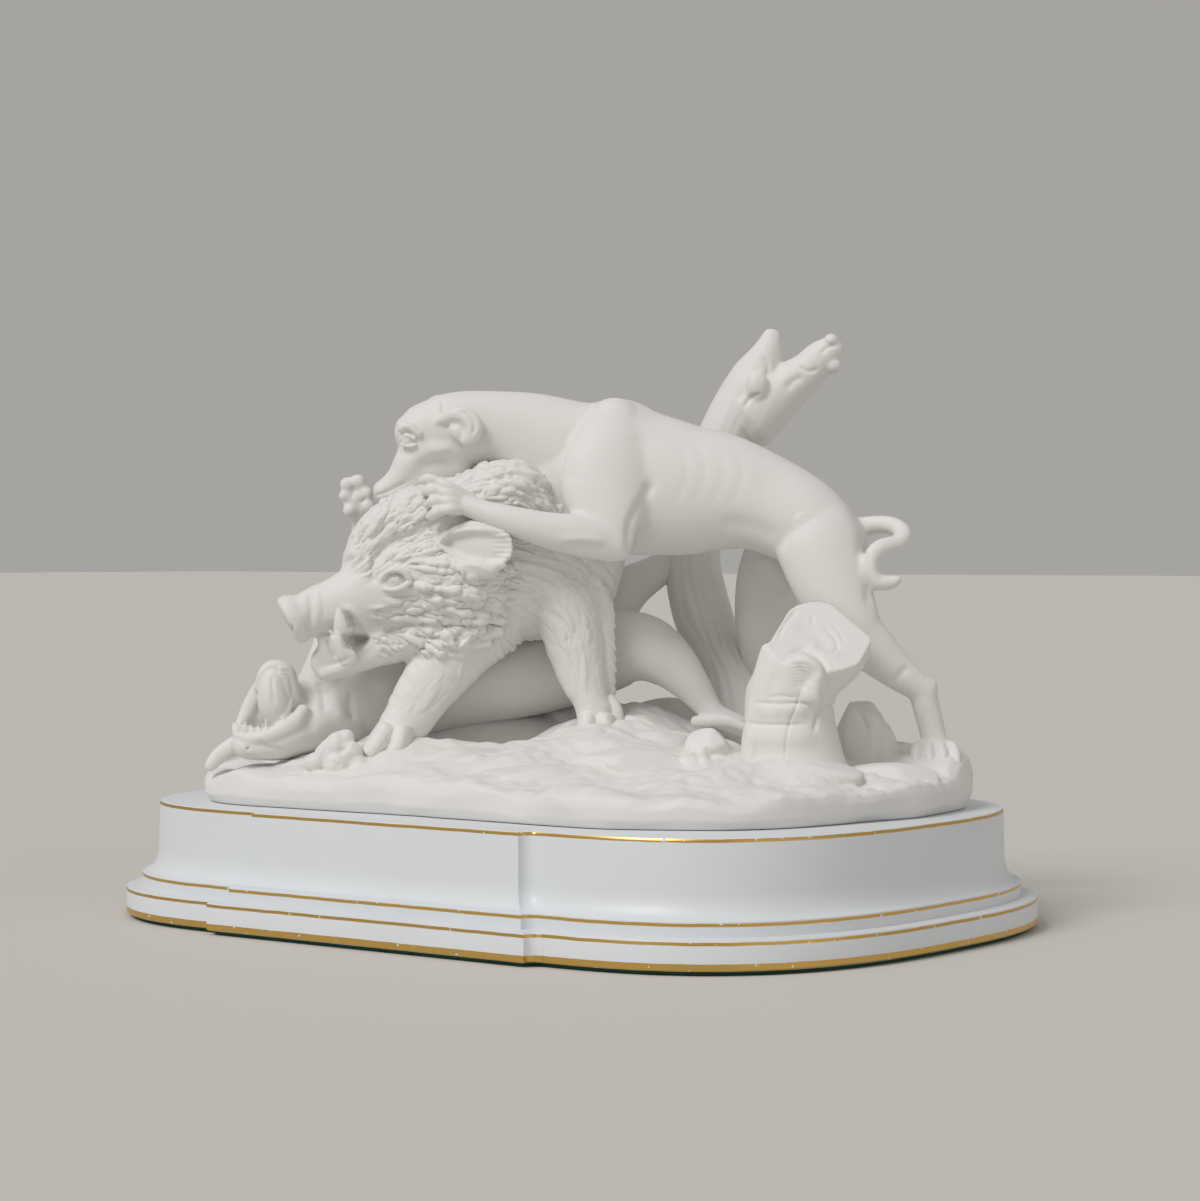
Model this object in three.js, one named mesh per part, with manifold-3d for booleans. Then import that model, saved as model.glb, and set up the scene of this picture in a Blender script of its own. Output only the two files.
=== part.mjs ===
// A boar hunt group in unglazed porcelain on its shaped wooden plinth, rebuilt from a photograph.
// Sizes are millimetres, +Z is up, the origin is on the table under the middle of the plinth.
import * as THREE from 'three'
import { mergeVertices } from 'three/addons/utils/BufferGeometryUtils.js'
import Module from 'manifold-3d'

const wasm = await Module()
wasm.setup()

// Sizes that drive the plinth
const HALF_LENGTH = 270
const HALF_DEPTH = 184.3
const LOBE_FLAT = 124.6
const LOBE_POWER = 2.72
const BLOCK_HALF = 106.7
const BLOCK_PROUD = 8
const PAD_THICK = 2
const PAD_INSET = 4
const PLINTH_TOP = 76
const SLAB_TOP = 20
const SLAB_SPREAD = 20.3
const STEP_TOP = 29.5
const STEP_SPREAD = 10.5
const COVE_HIGH = 16
const EDGE_ROUND = 2.4
const FIT_GAP = 0.3

// Sizes that drive the casting
const CAST_BOTTOM = PLINTH_TOP + FIT_GAP
const CAST_MARGIN = 24
const CAST_FLAT = 90
const CAST_POWER = 2.5
const LIP_HIGH = 20
const MELT = 1.7
const GROUP_TURN = 37.29 * Math.PI / 180

const porcelain = new THREE.MeshStandardMaterial({ color: 0xe2ddd6, roughness: 0.62, metalness: 0 })
const whitePaint = new THREE.MeshStandardMaterial({ color: 0xdfe3e6, roughness: 0.42, metalness: 0 })
const greenBaize = new THREE.MeshStandardMaterial({ color: 0x1d4433, roughness: 0.95, metalness: 0 })

// Turn a list of rings of points into a closed skin with a pole or a flat fan at each end
function skin(rings, first, last) {
  const sides = rings[0].length
  const points = rings.flat()
  const faces = []
  for (let r = 0; r + 1 < rings.length; r++) {
    for (let s = 0; s < sides; s++) {
      const a = r * sides + s
      const b = r * sides + (s + 1) % sides
      faces.push(a, b, b + sides, a, b + sides, a + sides)
    }
  }
  const start = points.push(first) - 1
  const end = points.push(last) - 1
  const top = (rings.length - 1) * sides
  for (let s = 0; s < sides; s++) {
    const t = (s + 1) % sides
    faces.push(start, t, s)
    faces.push(end, top + s, top + t)
  }
  return { points, faces }
}

function manifoldOf({ points, faces }) {
  const vertProperties = new Float32Array(points.flatMap(p => [p.x, p.y, p.z]))
  const body = new wasm.Manifold(new wasm.Mesh({ numProp: 3, vertProperties, triVerts: new Uint32Array(faces) }))
  return body
}

// A limb or body: elliptical sections [across, away, up, half depth, half height] along a path
function limb(sections, { sides = 8, side = [0, 1, 0], blunt = 0.6, flute = 0 } = {}) {
  const hint = new THREE.Vector3(...side)
  const centres = sections.map(s => new THREE.Vector3(s[0], s[1], s[2]))
  const rings = []
  const ring = (centre, along, wide, tall) => {
    const u = hint.clone().addScaledVector(along, -hint.dot(along)).normalize()
    const v = along.clone().cross(u)
    rings.push(Array.from({ length: sides }, (_, i) => {
      const angle = 2 * Math.PI * i / sides
      const size = 1 - flute * (i % 2)
      return centre.clone().addScaledVector(u, size * wide * Math.cos(angle))
        .addScaledVector(v, size * tall * Math.sin(angle))
    }))
  }
  const last = centres.length - 1
  const along = centres.map((c, i) => centres[Math.min(i + 1, last)].clone().sub(centres[Math.max(i - 1, 0)]).normalize())
  const reach = i => blunt * Math.min(sections[i][3], sections[i][4])
  const tip = (i, sign, amount) => centres[i].clone().addScaledVector(along[i], sign * amount * reach(i))
  ring(tip(0, -1, 0.7), along[0], 0.7 * sections[0][3], 0.7 * sections[0][4])
  sections.forEach((s, i) => ring(centres[i], along[i], s[3], s[4]))
  ring(tip(last, 1, 0.7), along[last], 0.7 * sections[last][3], 0.7 * sections[last][4])
  return manifoldOf(skin(rings, tip(0, -1, 1), tip(last, 1, 1)))
}

function lump(x, y, z, rx, ry, rz, sides = 7) {
  const ring = (size, rise, turn) => Array.from({ length: sides }, (_, i) => {
    const angle = 2 * Math.PI * (i + turn) / sides
    return new THREE.Vector3(x + size * rx * Math.cos(angle), y + size * ry * Math.sin(angle), z + rise * rz)
  })
  return manifoldOf(skin([ring(0.9, -0.5, 0), ring(0.9, 0.5, 0.5)],
    new THREE.Vector3(x, y, z - rz), new THREE.Vector3(x, y, z + rz)))
}

// A pointed lock of fur, an ear edge or a tusk: it starts thick and bends to a point
function lock(root, tip, bend, wide, thick, sides = 4) {
  const a = new THREE.Vector3(...root)
  const b = new THREE.Vector3(...tip)
  const m = a.clone().add(b).multiplyScalar(0.5).add(new THREE.Vector3(...bend))
  const along = b.clone().sub(a).normalize()
  const deep = new THREE.Vector3(0, 1, 0).addScaledVector(along, -along.y).normalize()
  const across = along.clone().cross(deep)
  const ring = (centre, size) => Array.from({ length: sides }, (_, i) => {
    const angle = 2 * Math.PI * i / sides
    return centre.clone().addScaledVector(deep, size * thick * Math.cos(angle))
      .addScaledVector(across, size * wide * Math.sin(angle))
  })
  return manifoldOf(skin([ring(a, 1), ring(m, 0.85)], a.clone().addScaledVector(along, -0.5 * wide), b))
}

const pieces = []
const put = (...bodies) => pieces.push(...bodies)

// Upper hound: body, neck and head, reaching left across the boar
put(limb([[-12, -12, 292, 22, 28], [4, -14, 290, 28, 42], [24, -16, 288, 32, 51], [46, -18, 285, 33, 47],
  [72, -22, 281, 31, 43], [97, -26, 279, 28, 38], [123, -30, 272, 26, 32], [148, -34, 259, 27, 29],
  [168, -36, 242, 25, 23], [178, -36, 229, 18, 14]], { sides: 10 }))
put(limb([[22, -14, 297, 24, 38], [-3, -12, 306, 23, 34], [-29, -10, 316, 21, 29], [-55, -10, 321, 19, 25],
  [-76, -10, 322, 19, 23.5], [-91, -10, 320, 18.5, 21.5], [-101, -10, 319, 17, 18], [-107, -10, 317, 14, 14]],
  { sides: 10 }))
put(limb([[-100, -10, 309, 16, 16], [-109, -10, 300, 13, 12.5], [-117, -10, 291, 11, 9.5], [-123, -10, 283.5, 9.5, 8.5],
  [-126, -10, 279, 8.5, 7.5]]))
put(limb([[-84, -4, 296, 9, 9], [-98, -8, 285, 9, 8], [-112, -10, 278, 8, 6]]))
put(limb([[-74, -28, 337, 4, 8], [-72, -33, 328, 5, 12], [-77, -36, 319, 4, 10], [-86, -35, 313, 3, 6]], { sides: 6 }))
put(limb([[-74, 8, 337, 4, 8], [-72, 13, 328, 5, 11], [-78, 15, 318, 4, 8]], { sides: 6 }))
put(limb([[-104, -24, 323, 4, 4], [-112, -22, 325, 3, 3]], { sides: 6 }))

// Upper hound: shoulders, forelegs and paws on the mane
put(limb([[28, -28, 333, 9, 13], [24, -41, 306, 13, 28], [20, -47, 280, 15, 29], [22, -53, 256, 13, 20],
  [25, -56, 243, 10, 12]]))
put(limb([[25, -56, 245, 10, 12], [4, -60, 250, 11, 13], [-19, -62, 255, 10, 11], [-41, -60, 261, 9, 9.5],
  [-60, -56, 267, 8, 7.5], [-74, -52, 273, 9, 7], [-88, -48, 279, 9, 6.5]]))
put(limb([[26, 2, 326, 9, 14], [16, 16, 300, 13, 26], [4, 24, 276, 13, 22], [-10, 28, 262, 10, 14],
  [-40, 26, 268, 9, 10], [-62, 20, 276, 8, 8], [-76, 16, 280, 9, 7]]))
for (let toe = 0; toe < 3; toe++) {
  put(lump(-90 - 2 * toe, -56 + 5.2 * toe, 279 + 1.5 * toe, 8, 3.2, 4.4, 5))
  put(lump(-84 + 2 * toe, 8 + 5 * toe, 280, 7, 3, 4, 5))
}

// Upper hound: thighs, hocks, cannons and feet
put(limb([[150, -44, 262, 17, 27], [160, -50, 243, 20, 28], [167, -56, 217, 18, 25], [177, -60, 192, 14, 19],
  [188, -60, 178, 11, 13]]))
put(limb([[184, -60, 182, 11, 14], [200, -58, 167, 9.5, 11.5], [212, -56, 158, 8, 9.5], [223, -55, 151, 8, 8]]))
put(limb([[221, -55, 154, 8, 8.5], [226, -53, 140, 7, 7.5], [230, -51, 124, 8, 8], [233, -53, 114, 9, 10]]))
put(limb([[146, 0, 262, 15, 24], [141, 10, 250, 16, 25], [130, 16, 222, 16, 24], [122, 22, 194, 13, 17],
  [121, 30, 172, 9, 11], [124, 40, 158, 8, 9], [118, 42, 140, 7, 8], [112, 38, 122, 8, 9]]))
for (let toe = 0; toe < 3; toe++) {
  put(lump(224 + 7 * toe, -64 - 2.5 * Math.sin(toe), 109, 4.2, 9, 5, 5))
}

// Upper hound: tail curled into a hook
put(limb([[176, -30, 259, 6.5, 7], [188, -34, 262, 5.5, 5.5], [200, -38, 261, 5, 5], [210, -46, 256, 4.6, 4.6],
  [211, -56, 249, 4.6, 4.6], [202, -62, 243, 4.6, 4.6], [192, -65, 238, 4.6, 4.6], [186, -66, 229, 4.4, 4.4],
  [190, -66, 222, 4.2, 4.2], [198, -66, 220, 4, 4], [204, -66, 222, 3, 3]], { sides: 6 }))

// Boar: body going away from the viewer, neck, head in profile and open jaw
put(limb([[-30, -5, 236, 46, 52], [-26, 30, 238, 46, 55], [-22, 72, 241, 44, 52], [-20, 108, 240, 42, 50],
  [-20, 132, 234, 34, 42]], { sides: 10, side: [1, 0, 0] }))
put(limb([[-8, 8, 236, 42, 56], [-36, -2, 240, 46, 60], [-62, -10, 239, 44, 56], [-82, -16, 234, 39, 51],
  [-102, -20, 226, 33, 44], [-123, -25, 218, 26, 33], [-142, -29, 211, 20, 23], [-161, -33, 205, 16, 16.5],
  [-178, -36, 199, 14.5, 14.5]], { sides: 10 }))
put(limb([[-176, -36, 201, 13, 13], [-180, -36.5, 199, 16, 15.5], [-185, -38, 196, 15.5, 15]], { blunt: 0.15 }))
put(limb([[-136, -27, 228, 14, 17], [-131, -27, 246, 18, 20], [-119, -27, 258, 22, 22], [-96, -27, 266, 26, 26]]))
put(limb([[-98, -18, 192, 20, 18], [-114, -22, 184, 17, 14], [-132, -26, 176, 13, 10], [-150, -28, 169, 10, 7.5],
  [-164, -30, 163, 7, 5]]))
put(lump(-115, -50, 223, 7.5, 5, 6), lump(-115, -46, 231, 12, 6, 4))

// Boar: leaf-shaped ears, each a cupped blade with a hollow down its middle
for (const [x, y, z, away] of [[-86, -46, 250, -1], [-66, 26, 262, 1]]) {
  const ear = limb([[x, y, z, 6, 9], [x + 16, y + 5 * away, z + 2, 6, 18], [x + 32, y + 9 * away, z + 1, 5, 17],
    [x + 46, y + 14 * away, z - 2, 3, 9]], { sides: 10 })
  const hollow = limb([[x + 12, y + 9 * away, z + 2, 5, 9], [x + 28, y + 14 * away, z + 1, 6, 11],
    [x + 40, y + 18 * away, z - 1, 4, 6]], { sides: 6 })
  put(ear.subtract(hollow))
}

// Boar: lower and upper tusks on both sides of the mouth
for (const y of [-47, -13]) {
  put(lock([-147, y, 178], [-155, y - 3 * Math.sign(y + 30) * -1, 192], [-3, 0, 0], 3.6, 3))
  put(lock([-148, y, 189], [-150, y, 204], [-4, 0, 0], 6, 3.4))
}

// Boar: forelegs braced apart, hind legs drawn up under the rump, cloven hoofs
put(limb([[-14, -18, 228, 24, 30], [-6, -24, 204, 21, 23], [1, -27, 178, 17, 19], [6, -30, 158, 13, 15],
  [11, -31, 142, 11, 11.5], [14, -32, 136, 11, 12]]))
put(limb([[-60, -18, 200, 26, 31], [-76, -24, 180, 20, 24], [-92, -29, 159, 15, 18], [-104, -32, 143, 12, 14],
  [-112, -34, 131, 10.5, 12], [-118, -36, 124, 10, 11]]))
const hoofs = [[14, -36, 126, 0.1, 1], [-122, -40, 116, 1, 0.5], [4, 128, 122, 0.3, 1], [-52, 122, 120, 0.3, 1]]
for (const [x, y, z, turn, apart] of hoofs) {
  for (const half of [-1, 1]) {
    put(limb([[x + 5.5 * half * apart, y + 5 * half * (1 - apart), z + 10, 9, 6],
      [x + 6.2 * half * apart - 5 * turn, y + 6 * half * (1 - apart) - 3, z, 11, 6.4],
      [x + 6.6 * half * apart - 11 * turn, y + 6.5 * half * (1 - apart) - 6, z - 7, 10, 6]], { sides: 8, blunt: 0.3 }))
  }
}
for (const [x, sway] of [[0, 4], [-46, -6]]) {
  put(limb([[x - 4, 104, 226, 20, 26], [x, 96, 198, 20, 22], [x + sway, 104, 172, 14, 16],
    [x + sway, 126, 156, 10, 11], [x + sway, 132, 140, 9, 9], [x + sway, 130, 126, 10, 10]]))
}
put(limb([[-20, 150, 262, 5, 6], [-16, 162, 248, 4, 4], [-12, 165, 226, 3.6, 3.6], [-10, 162, 204, 5, 5]], { sides: 6 }))

// Boar: locks of the crest, mane and cheek, set in rows that run back from the brow
const row = (count, make) => Array.from({ length: count }, (_, i) => make(i / (count - 1), i))
put(...row(7, (t, i) => lock([-136 + 118 * t, -26 + 14 * t, 250 + 44 * Math.sin(1.3 * t + 0.25)],
  [-114 + 118 * t, -24 + 16 * t, 262 + 46 * Math.sin(1.3 * t + 0.2) + 4 * (i % 2)], [0, 0, 5], 9, 9)))
put(...row(6, (t, i) => lock([-124 + 104 * t, -46 + 4 * t, 246 + 38 * Math.sin(1.4 * t)],
  [-98 + 104 * t, -53 + 4 * t, 254 + 36 * Math.sin(1.4 * t) - 3 * (i % 2)], [0, -4, 3], 7, 6)))
put(...row(5, (t, i) => lock([-104 + 26 * t, -50, 236 - 52 * t], [-76 + 30 * t, -60, 230 - 54 * t - 4 * (i % 2)],
  [0, -3, 2], 7, 5)))
put(...row(4, (t, i) => lock([-76 + 30 * t, -54, 246 - 50 * t], [-46 + 32 * t, -60, 238 - 54 * t + 4 * (i % 2)],
  [0, -3, 2], 8, 5)))
put(...row(5, (t, i) => lock([-134 + 62 * t, -30 - 8 * t, 186 - 6 * Math.sin(3 * t)],
  [-124 + 70 * t, -36 - 10 * t, 172 + 4 * (i % 2)], [2, -2, -2], 6, 5)))
put(...row(4, (t, i) => lock([14 + 4 * t, -26, 222 - 52 * t], [22 + 3 * t, -26, 208 - 50 * t], [3, 0, 0], 5, 6)))
put(...row(3, (t, i) => lock([-66 - 30 * t, -34, 186 - 36 * t], [-54 - 36 * t, -34, 168 - 36 * t], [3, 0, 0], 5, 6)))

// Lower hound: on its back under the boar, head upside down with the mouth wide open
put(limb([[-168, 16, 136, 22, 19], [-143, 22, 143, 28, 24], [-110, 26, 149, 32, 29], [-70, 28, 155, 32, 29],
  [-30, 26, 160, 29, 26], [3, 22, 167, 26, 24], [28, 16, 175, 24, 24]], { sides: 10 }))
put(limb([[-150, 18, 138, 24, 22], [-170, 12, 130, 21, 21], [-180, 6, 121, 18, 18], [-190, 0, 118, 17, 15],
  [-202, -8, 116, 13, 12], [-212, -14, 115, 9, 9]]))
put(limb([[-184, 0, 128, 12, 13], [-190, -4, 143, 11, 12], [-193, -7, 156, 10, 10], [-194, -9, 164, 7, 7]]))
put(limb([[-194, -15, 138, 5, 6], [-198, -18, 150, 5, 7], [-199, -18, 160, 4, 5]], { sides: 6 }))
put(limb([[-190, -14, 112, 5, 8], [-212, -16, 104, 5, 9], [-232, -8, 101, 4, 7]], { sides: 6 }))
put(limb([[14, 14, 177, 22, 25], [43, 6, 178, 19, 23], [61, 0, 169, 16, 18], [75, -4, 155, 12, 13],
  [85, -6, 142, 9, 9.5], [92, -8, 134, 9, 8], [108, -10, 127, 9, 7]]))
put(limb([[14, 40, 190, 17, 20], [33, 50, 214, 14, 16], [50, 56, 225, 12, 12], [66, 60, 236, 10, 10],
  [74, 62, 250, 8, 8]]))
put(limb([[-168, 10, 145, 14, 17], [-167, 12, 169, 11, 12], [-159, 14, 196, 8, 9], [-151, 14, 229, 6, 7],
  [-146, 12, 252, 6, 6], [-144, 9, 268, 8, 8], [-145, 5, 280, 8, 8]]))
put(lump(-136, 8, 279, 5, 5, 7), lump(-150, 2, 284, 4, 5, 6))

// Tree behind the hounds, forked at the top, with bark ribs run along it
put(limb([[112, 40, 104, 32, 30], [109, 42, 130, 26, 25], [103, 46, 158, 22, 20], [94, 50, 178, 20, 19],
  [85, 54, 200, 20, 20], [79, 58, 234, 17, 19], [84, 60, 270, 18, 18], [93, 63, 300, 18, 18], [103, 65, 323, 19, 18.5],
  [113, 66, 343, 18, 18], [124, 66, 362, 15, 16.5], [130, 66, 377.5, 10, 10], [132.7, 66, 389.5, 5, 6]],
  { sides: 12, flute: 0.16 }))
put(limb([[116, 64, 332, 20, 24], [136, 64, 347.5, 17, 19], [155, 62, 361.5, 13, 13.5], [166, 60, 372, 11, 12],
  [174, 58, 378.5, 8, 9]]))
put(lump(176, 56, 364, 5, 5, 5))

// Stump in front: broken off aslant, with layers of bark
const stumpSections = [[136, -96, 99, 36, 40], [136, -96, 121, 31, 34], [136, -96, 139, 28, 29.5],
  [139, -97, 152, 28, 30], [145, -98, 166, 28, 31], [153, -99, 183, 28, 32], [156, -100, 199, 27, 29],
  [156, -100, 214, 26, 26]]
const cutWay = [-0.1, 0.64, -0.76]
put(limb(stumpSections, { sides: 10, blunt: 0.3 }).trimByPlane(cutWay, -222))
for (let layer = 0; layer < 3; layer++) {
  const z = 122 + 15 * layer
  const x = 133 + 0.25 * (z - 110)
  put(limb([[x - 22, -116, z - 2, 4, 4], [x, -126 + layer, z, 4, 5], [x + 20, -117, z + 2, 4, 4]], { sides: 5 }))
}

// All the figures stand a little sunk into the ground
const FIGURES_SUNK = 1.5
put(...pieces.splice(0).map(body => body.translate([0, 0, -FIGURES_SUNK])))

// Ground: a slab with a broken rim, raised into boulders under the animals
const boulders = [[-110, -40, 14, 45], [-60, -75, 14, 55], [20, -60, 22, 60], [60, 20, 26, 70], [110, -110, 14, 55],
  [200, -60, 12, 50], [236, -52, 9, 34], [-40, 90, 16, 70], [60, 110, 14, 60], [-170, -10, 8, 40], [170, 30, 12, 60],
  [-120, 70, 10, 60], [10, 20, 12, 60]]
const rough = (x, y) => 3 * Math.sin(0.09 * x + 0.05 * y) * Math.sin(0.08 * y - 0.04 * x + 1) + 1.5 * Math.sin(0.21 * x - 0.17 * y)
function groundHeight(x, y) {
  const lift = boulders.map(([bx, by, high, wide]) => high * Math.exp(-((x - bx) ** 2 + (y - by) ** 2) / (wide * wide)))
  return CAST_BOTTOM + LIP_HIGH + lift.reduce((a, b) => a + b) + rough(x, y)
}
const AROUND = 40
const castRound = HALF_LENGTH - CAST_MARGIN - CAST_FLAT
const castDeep = HALF_DEPTH - CAST_MARGIN
function castEdge(angle, share) {
  const c = Math.cos(angle)
  const s = Math.sin(angle)
  let inside = 0
  let outside = HALF_LENGTH
  while (outside - inside > 0.05) {
    const middle = (inside + outside) / 2
    const along = Math.max(Math.abs(middle * c) - CAST_FLAT, 0) / castRound
    const across = Math.abs(middle * s) / castDeep
    if (along ** CAST_POWER + across ** CAST_POWER < 1) inside = middle
    else outside = middle
  }
  const broken = 1 + 0.01 * Math.sin(5 * angle) + 0.006 * Math.sin(13 * angle + 1)
  const reach = share * broken * inside
  return new THREE.Vector3(reach * c, reach * s, 0).applyAxisAngle(new THREE.Vector3(0, 0, 1), -GROUP_TURN)
}
const groundRings = [[0.985, null, 0], [1, 8, 0], [0.99, 15, 0], [0.95, null, 1], [0.78, null, 1], [0.56, null, 1],
  [0.34, null, 1], [0.15, null, 1]].map(([share, high, follow]) =>
  Array.from({ length: AROUND }, (_, i) => {
    const p = castEdge(2 * Math.PI * i / AROUND, share)
    p.z = follow ? groundHeight(p.x, p.y) - (share > 0.9 ? 4 : 0) : CAST_BOTTOM + (high ?? 0)
    return p
  }))
put(manifoldOf(skin(groundRings, new THREE.Vector3(0, 0, CAST_BOTTOM), new THREE.Vector3(0, 0, groundHeight(0, 0)))))
for (const [x, y, z, rx, ry, rz] of [[190, -60, 112, 26, 20, 24], [74, -112, 112, 16, 14, 14], [-152, -52, 100, 18, 14, 14],
  [-138, -46, 108, 12, 12, 11], [-30, -118, 98, 40, 20, 14], [176, -110, 100, 30, 20, 16]]) {
  put(lump(x, y, z, rx, ry, rz, 9))
}

// Join the figures into one casting, cut it off flat underneath and turn it onto the plinth
const joined = pieces.reduce((all, body) => all.add(body))
const trimmed = joined.trimByPlane([0, 0, 1], CAST_BOTTOM)

// Keep the outer shell, so that pockets closed in between the bodies are solid
const outerShell = body => body.decompose().sort((a, b) => b.volume() - a.volume())[0]
const casting = outerShell(outerShell(trimmed).simplify(MELT))

function meshOf(body, material, name) {
  const { vertProperties, triVerts, numProp } = body.getMesh()
  const geometry = new THREE.BufferGeometry()
  const position = new Float32Array(vertProperties.length / numProp * 3)
  for (let i = 0; i < position.length; i++) {
    position[i] = vertProperties[Math.floor(i / 3) * numProp + i % 3]
  }
  geometry.setAttribute('position', new THREE.BufferAttribute(position, 3))
  geometry.setIndex(Array.from(triVerts))
  const mesh = new THREE.Mesh(mergeVertices(geometry, 1e-4), material)
  mesh.name = name
  return mesh
}

// Plan of the plinth, pushed out by a distance: two rounded lobes and a block standing proud
function plinthPlan(out, steps = 7) {
  const length = HALF_LENGTH + out
  const depth = HALF_DEPTH + out
  const quarter = []
  for (let i = 0; i <= steps; i++) {
    const angle = Math.PI / 2 * i / steps
    const x = LOBE_FLAT + (length - LOBE_FLAT) * Math.cos(angle) ** (2 / LOBE_POWER)
    quarter.push([x, depth * Math.sin(angle) ** (2 / LOBE_POWER)])
  }
  const cove = BLOCK_PROUD
  for (const angle of [0.25, 0.5, 0.75, 1].map(t => t * Math.PI / 2)) {
    quarter.push([BLOCK_HALF + out + cove - cove * Math.sin(angle), depth + cove - cove * Math.cos(angle)])
  }
  const back = quarter.map(([x, y]) => [-x, y]).reverse()
  const upper = quarter.concat(back)
  const lower = upper.slice(1, -1).reverse().map(([x, y]) => [x, -y])
  return upper.concat(lower)
}

// Profile of the plinth from its underside up: slab, step, hollow moulding, wall and rounded edge
const profile = [[SLAB_SPREAD, PAD_THICK + FIT_GAP], [SLAB_SPREAD, SLAB_TOP - 1], [SLAB_SPREAD - 1, SLAB_TOP],
  [STEP_SPREAD, SLAB_TOP], [STEP_SPREAD, STEP_TOP]]
for (const angle of [0.2, 0.6, 1].map(t => t * Math.PI / 2)) {
  profile.push([STEP_SPREAD - 1 - (STEP_SPREAD - 2) * Math.sin(angle), STEP_TOP + COVE_HIGH * (1 - Math.cos(angle))])
}
profile.push([0.3, PLINTH_TOP - EDGE_ROUND], [-0.5, PLINTH_TOP - 0.6], [-2, PLINTH_TOP])
const level = (out, z) => plinthPlan(out).map(([x, y]) => new THREE.Vector3(x, y, z))
const plinthBody = manifoldOf(skin(profile.map(([out, z]) => level(out, z)),
  new THREE.Vector3(0, 0, profile[0][1]), new THREE.Vector3(0, 0, PLINTH_TOP)))
const padBody = manifoldOf(skin([level(SLAB_SPREAD - PAD_INSET, 0), level(SLAB_SPREAD - PAD_INSET, PAD_THICK)],
  new THREE.Vector3(0, 0, 0), new THREE.Vector3(0, 0, PAD_THICK)))

const figures = meshOf(casting.rotate([0, 0, GROUP_TURN * 180 / Math.PI]), porcelain, 'porcelain_group')
const group = new THREE.Group()
group.name = 'porcelain_hunt_centerpiece'
group.add(figures, meshOf(plinthBody, whitePaint, 'plinth'), meshOf(padBody, greenBaize, 'baize_pad'))

export default group
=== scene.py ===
"""Porcelain hunt centerpiece: an unglazed casting of a boar and two hounds, on a white and gilt plinth."""

import math
import random

import bmesh
import bpy
import numpy as np
from mathutils import Matrix, Vector, noise
from mathutils.bvhtree import BVHTree
from mathutils.kdtree import KDTree


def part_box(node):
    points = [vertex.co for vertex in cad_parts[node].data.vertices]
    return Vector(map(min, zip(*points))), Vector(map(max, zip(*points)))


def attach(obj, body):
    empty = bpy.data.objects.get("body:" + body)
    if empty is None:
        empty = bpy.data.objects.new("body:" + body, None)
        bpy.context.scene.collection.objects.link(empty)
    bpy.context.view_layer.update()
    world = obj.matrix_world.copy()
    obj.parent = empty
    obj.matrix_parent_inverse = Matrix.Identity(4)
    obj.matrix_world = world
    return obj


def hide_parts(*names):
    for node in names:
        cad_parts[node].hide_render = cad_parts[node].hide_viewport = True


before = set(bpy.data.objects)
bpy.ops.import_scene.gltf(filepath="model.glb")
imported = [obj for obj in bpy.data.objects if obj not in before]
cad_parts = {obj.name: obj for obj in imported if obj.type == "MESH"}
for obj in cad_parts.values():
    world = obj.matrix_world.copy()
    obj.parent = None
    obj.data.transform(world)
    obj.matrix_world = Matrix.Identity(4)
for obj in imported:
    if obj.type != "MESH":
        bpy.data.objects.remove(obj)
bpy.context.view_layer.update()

# Camera
# It stands two metres away, a little above the table, and looks level at the plinth's corner.
# The picture is shifted down instead of tilting the camera, so upright edges stay upright.
MM = 0.001
VIEW_TURN = math.radians(37.29)
CAMERA_PLACE = (1.2256, -1.5825, 0.2373)
LENS = 91.5
HORIZON_SHIFT = -0.038

camera = bpy.data.objects.new("camera", bpy.data.cameras.new("camera"))
camera.location = CAMERA_PLACE
camera.rotation_euler = (math.radians(90), 0, VIEW_TURN)
camera.data.lens = LENS
camera.data.sensor_width = 36
camera.data.shift_y = HORIZON_SHIFT
bpy.context.scene.collection.objects.link(camera)
bpy.context.scene.camera = camera

# Boar
# Slip-cast porcelain, fired without glaze. The body was cast in plaster moulds, and the locks of the mane,
# the ears and the tusks were sharpened by hand in the soft clay before firing.
# All figures are modelled in millimetres as the viewer sees them: x across, y away from the viewer, z up.
FINE = 4


def flowing(stations, fine=FINE):
    """Stations along a path, with smooth steps put in between them."""
    rows = np.array(stations, float)
    ends = np.vstack([2 * rows[0] - rows[1], rows, 2 * rows[-1] - rows[-2]])
    steps = []
    for i in range(1, len(ends) - 2):
        a, b, c, d = ends[i - 1:i + 3]
        for t in np.arange(fine) / fine:
            steps.append(0.5 * (2 * b + (c - a) * t + (2 * a - 5 * b + 4 * c - d) * t ** 2
                                + (3 * b - a - 3 * c + d) * t ** 3))
    steps.append(rows[-1])
    return np.array(steps)


def edges_round(ring):
    """The edges that join the points of a ring to each other."""
    return [e for e in {e for v in ring for e in v.link_edges} if e.verts[0] in ring and e.verts[1] in ring]


def pressed(clay, lump):
    """Presses a finished lump into the clay."""
    part = bpy.data.meshes.new("lump")
    lump.to_mesh(part)
    lump.free()
    clay.from_mesh(part)
    bpy.data.meshes.remove(part)


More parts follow.
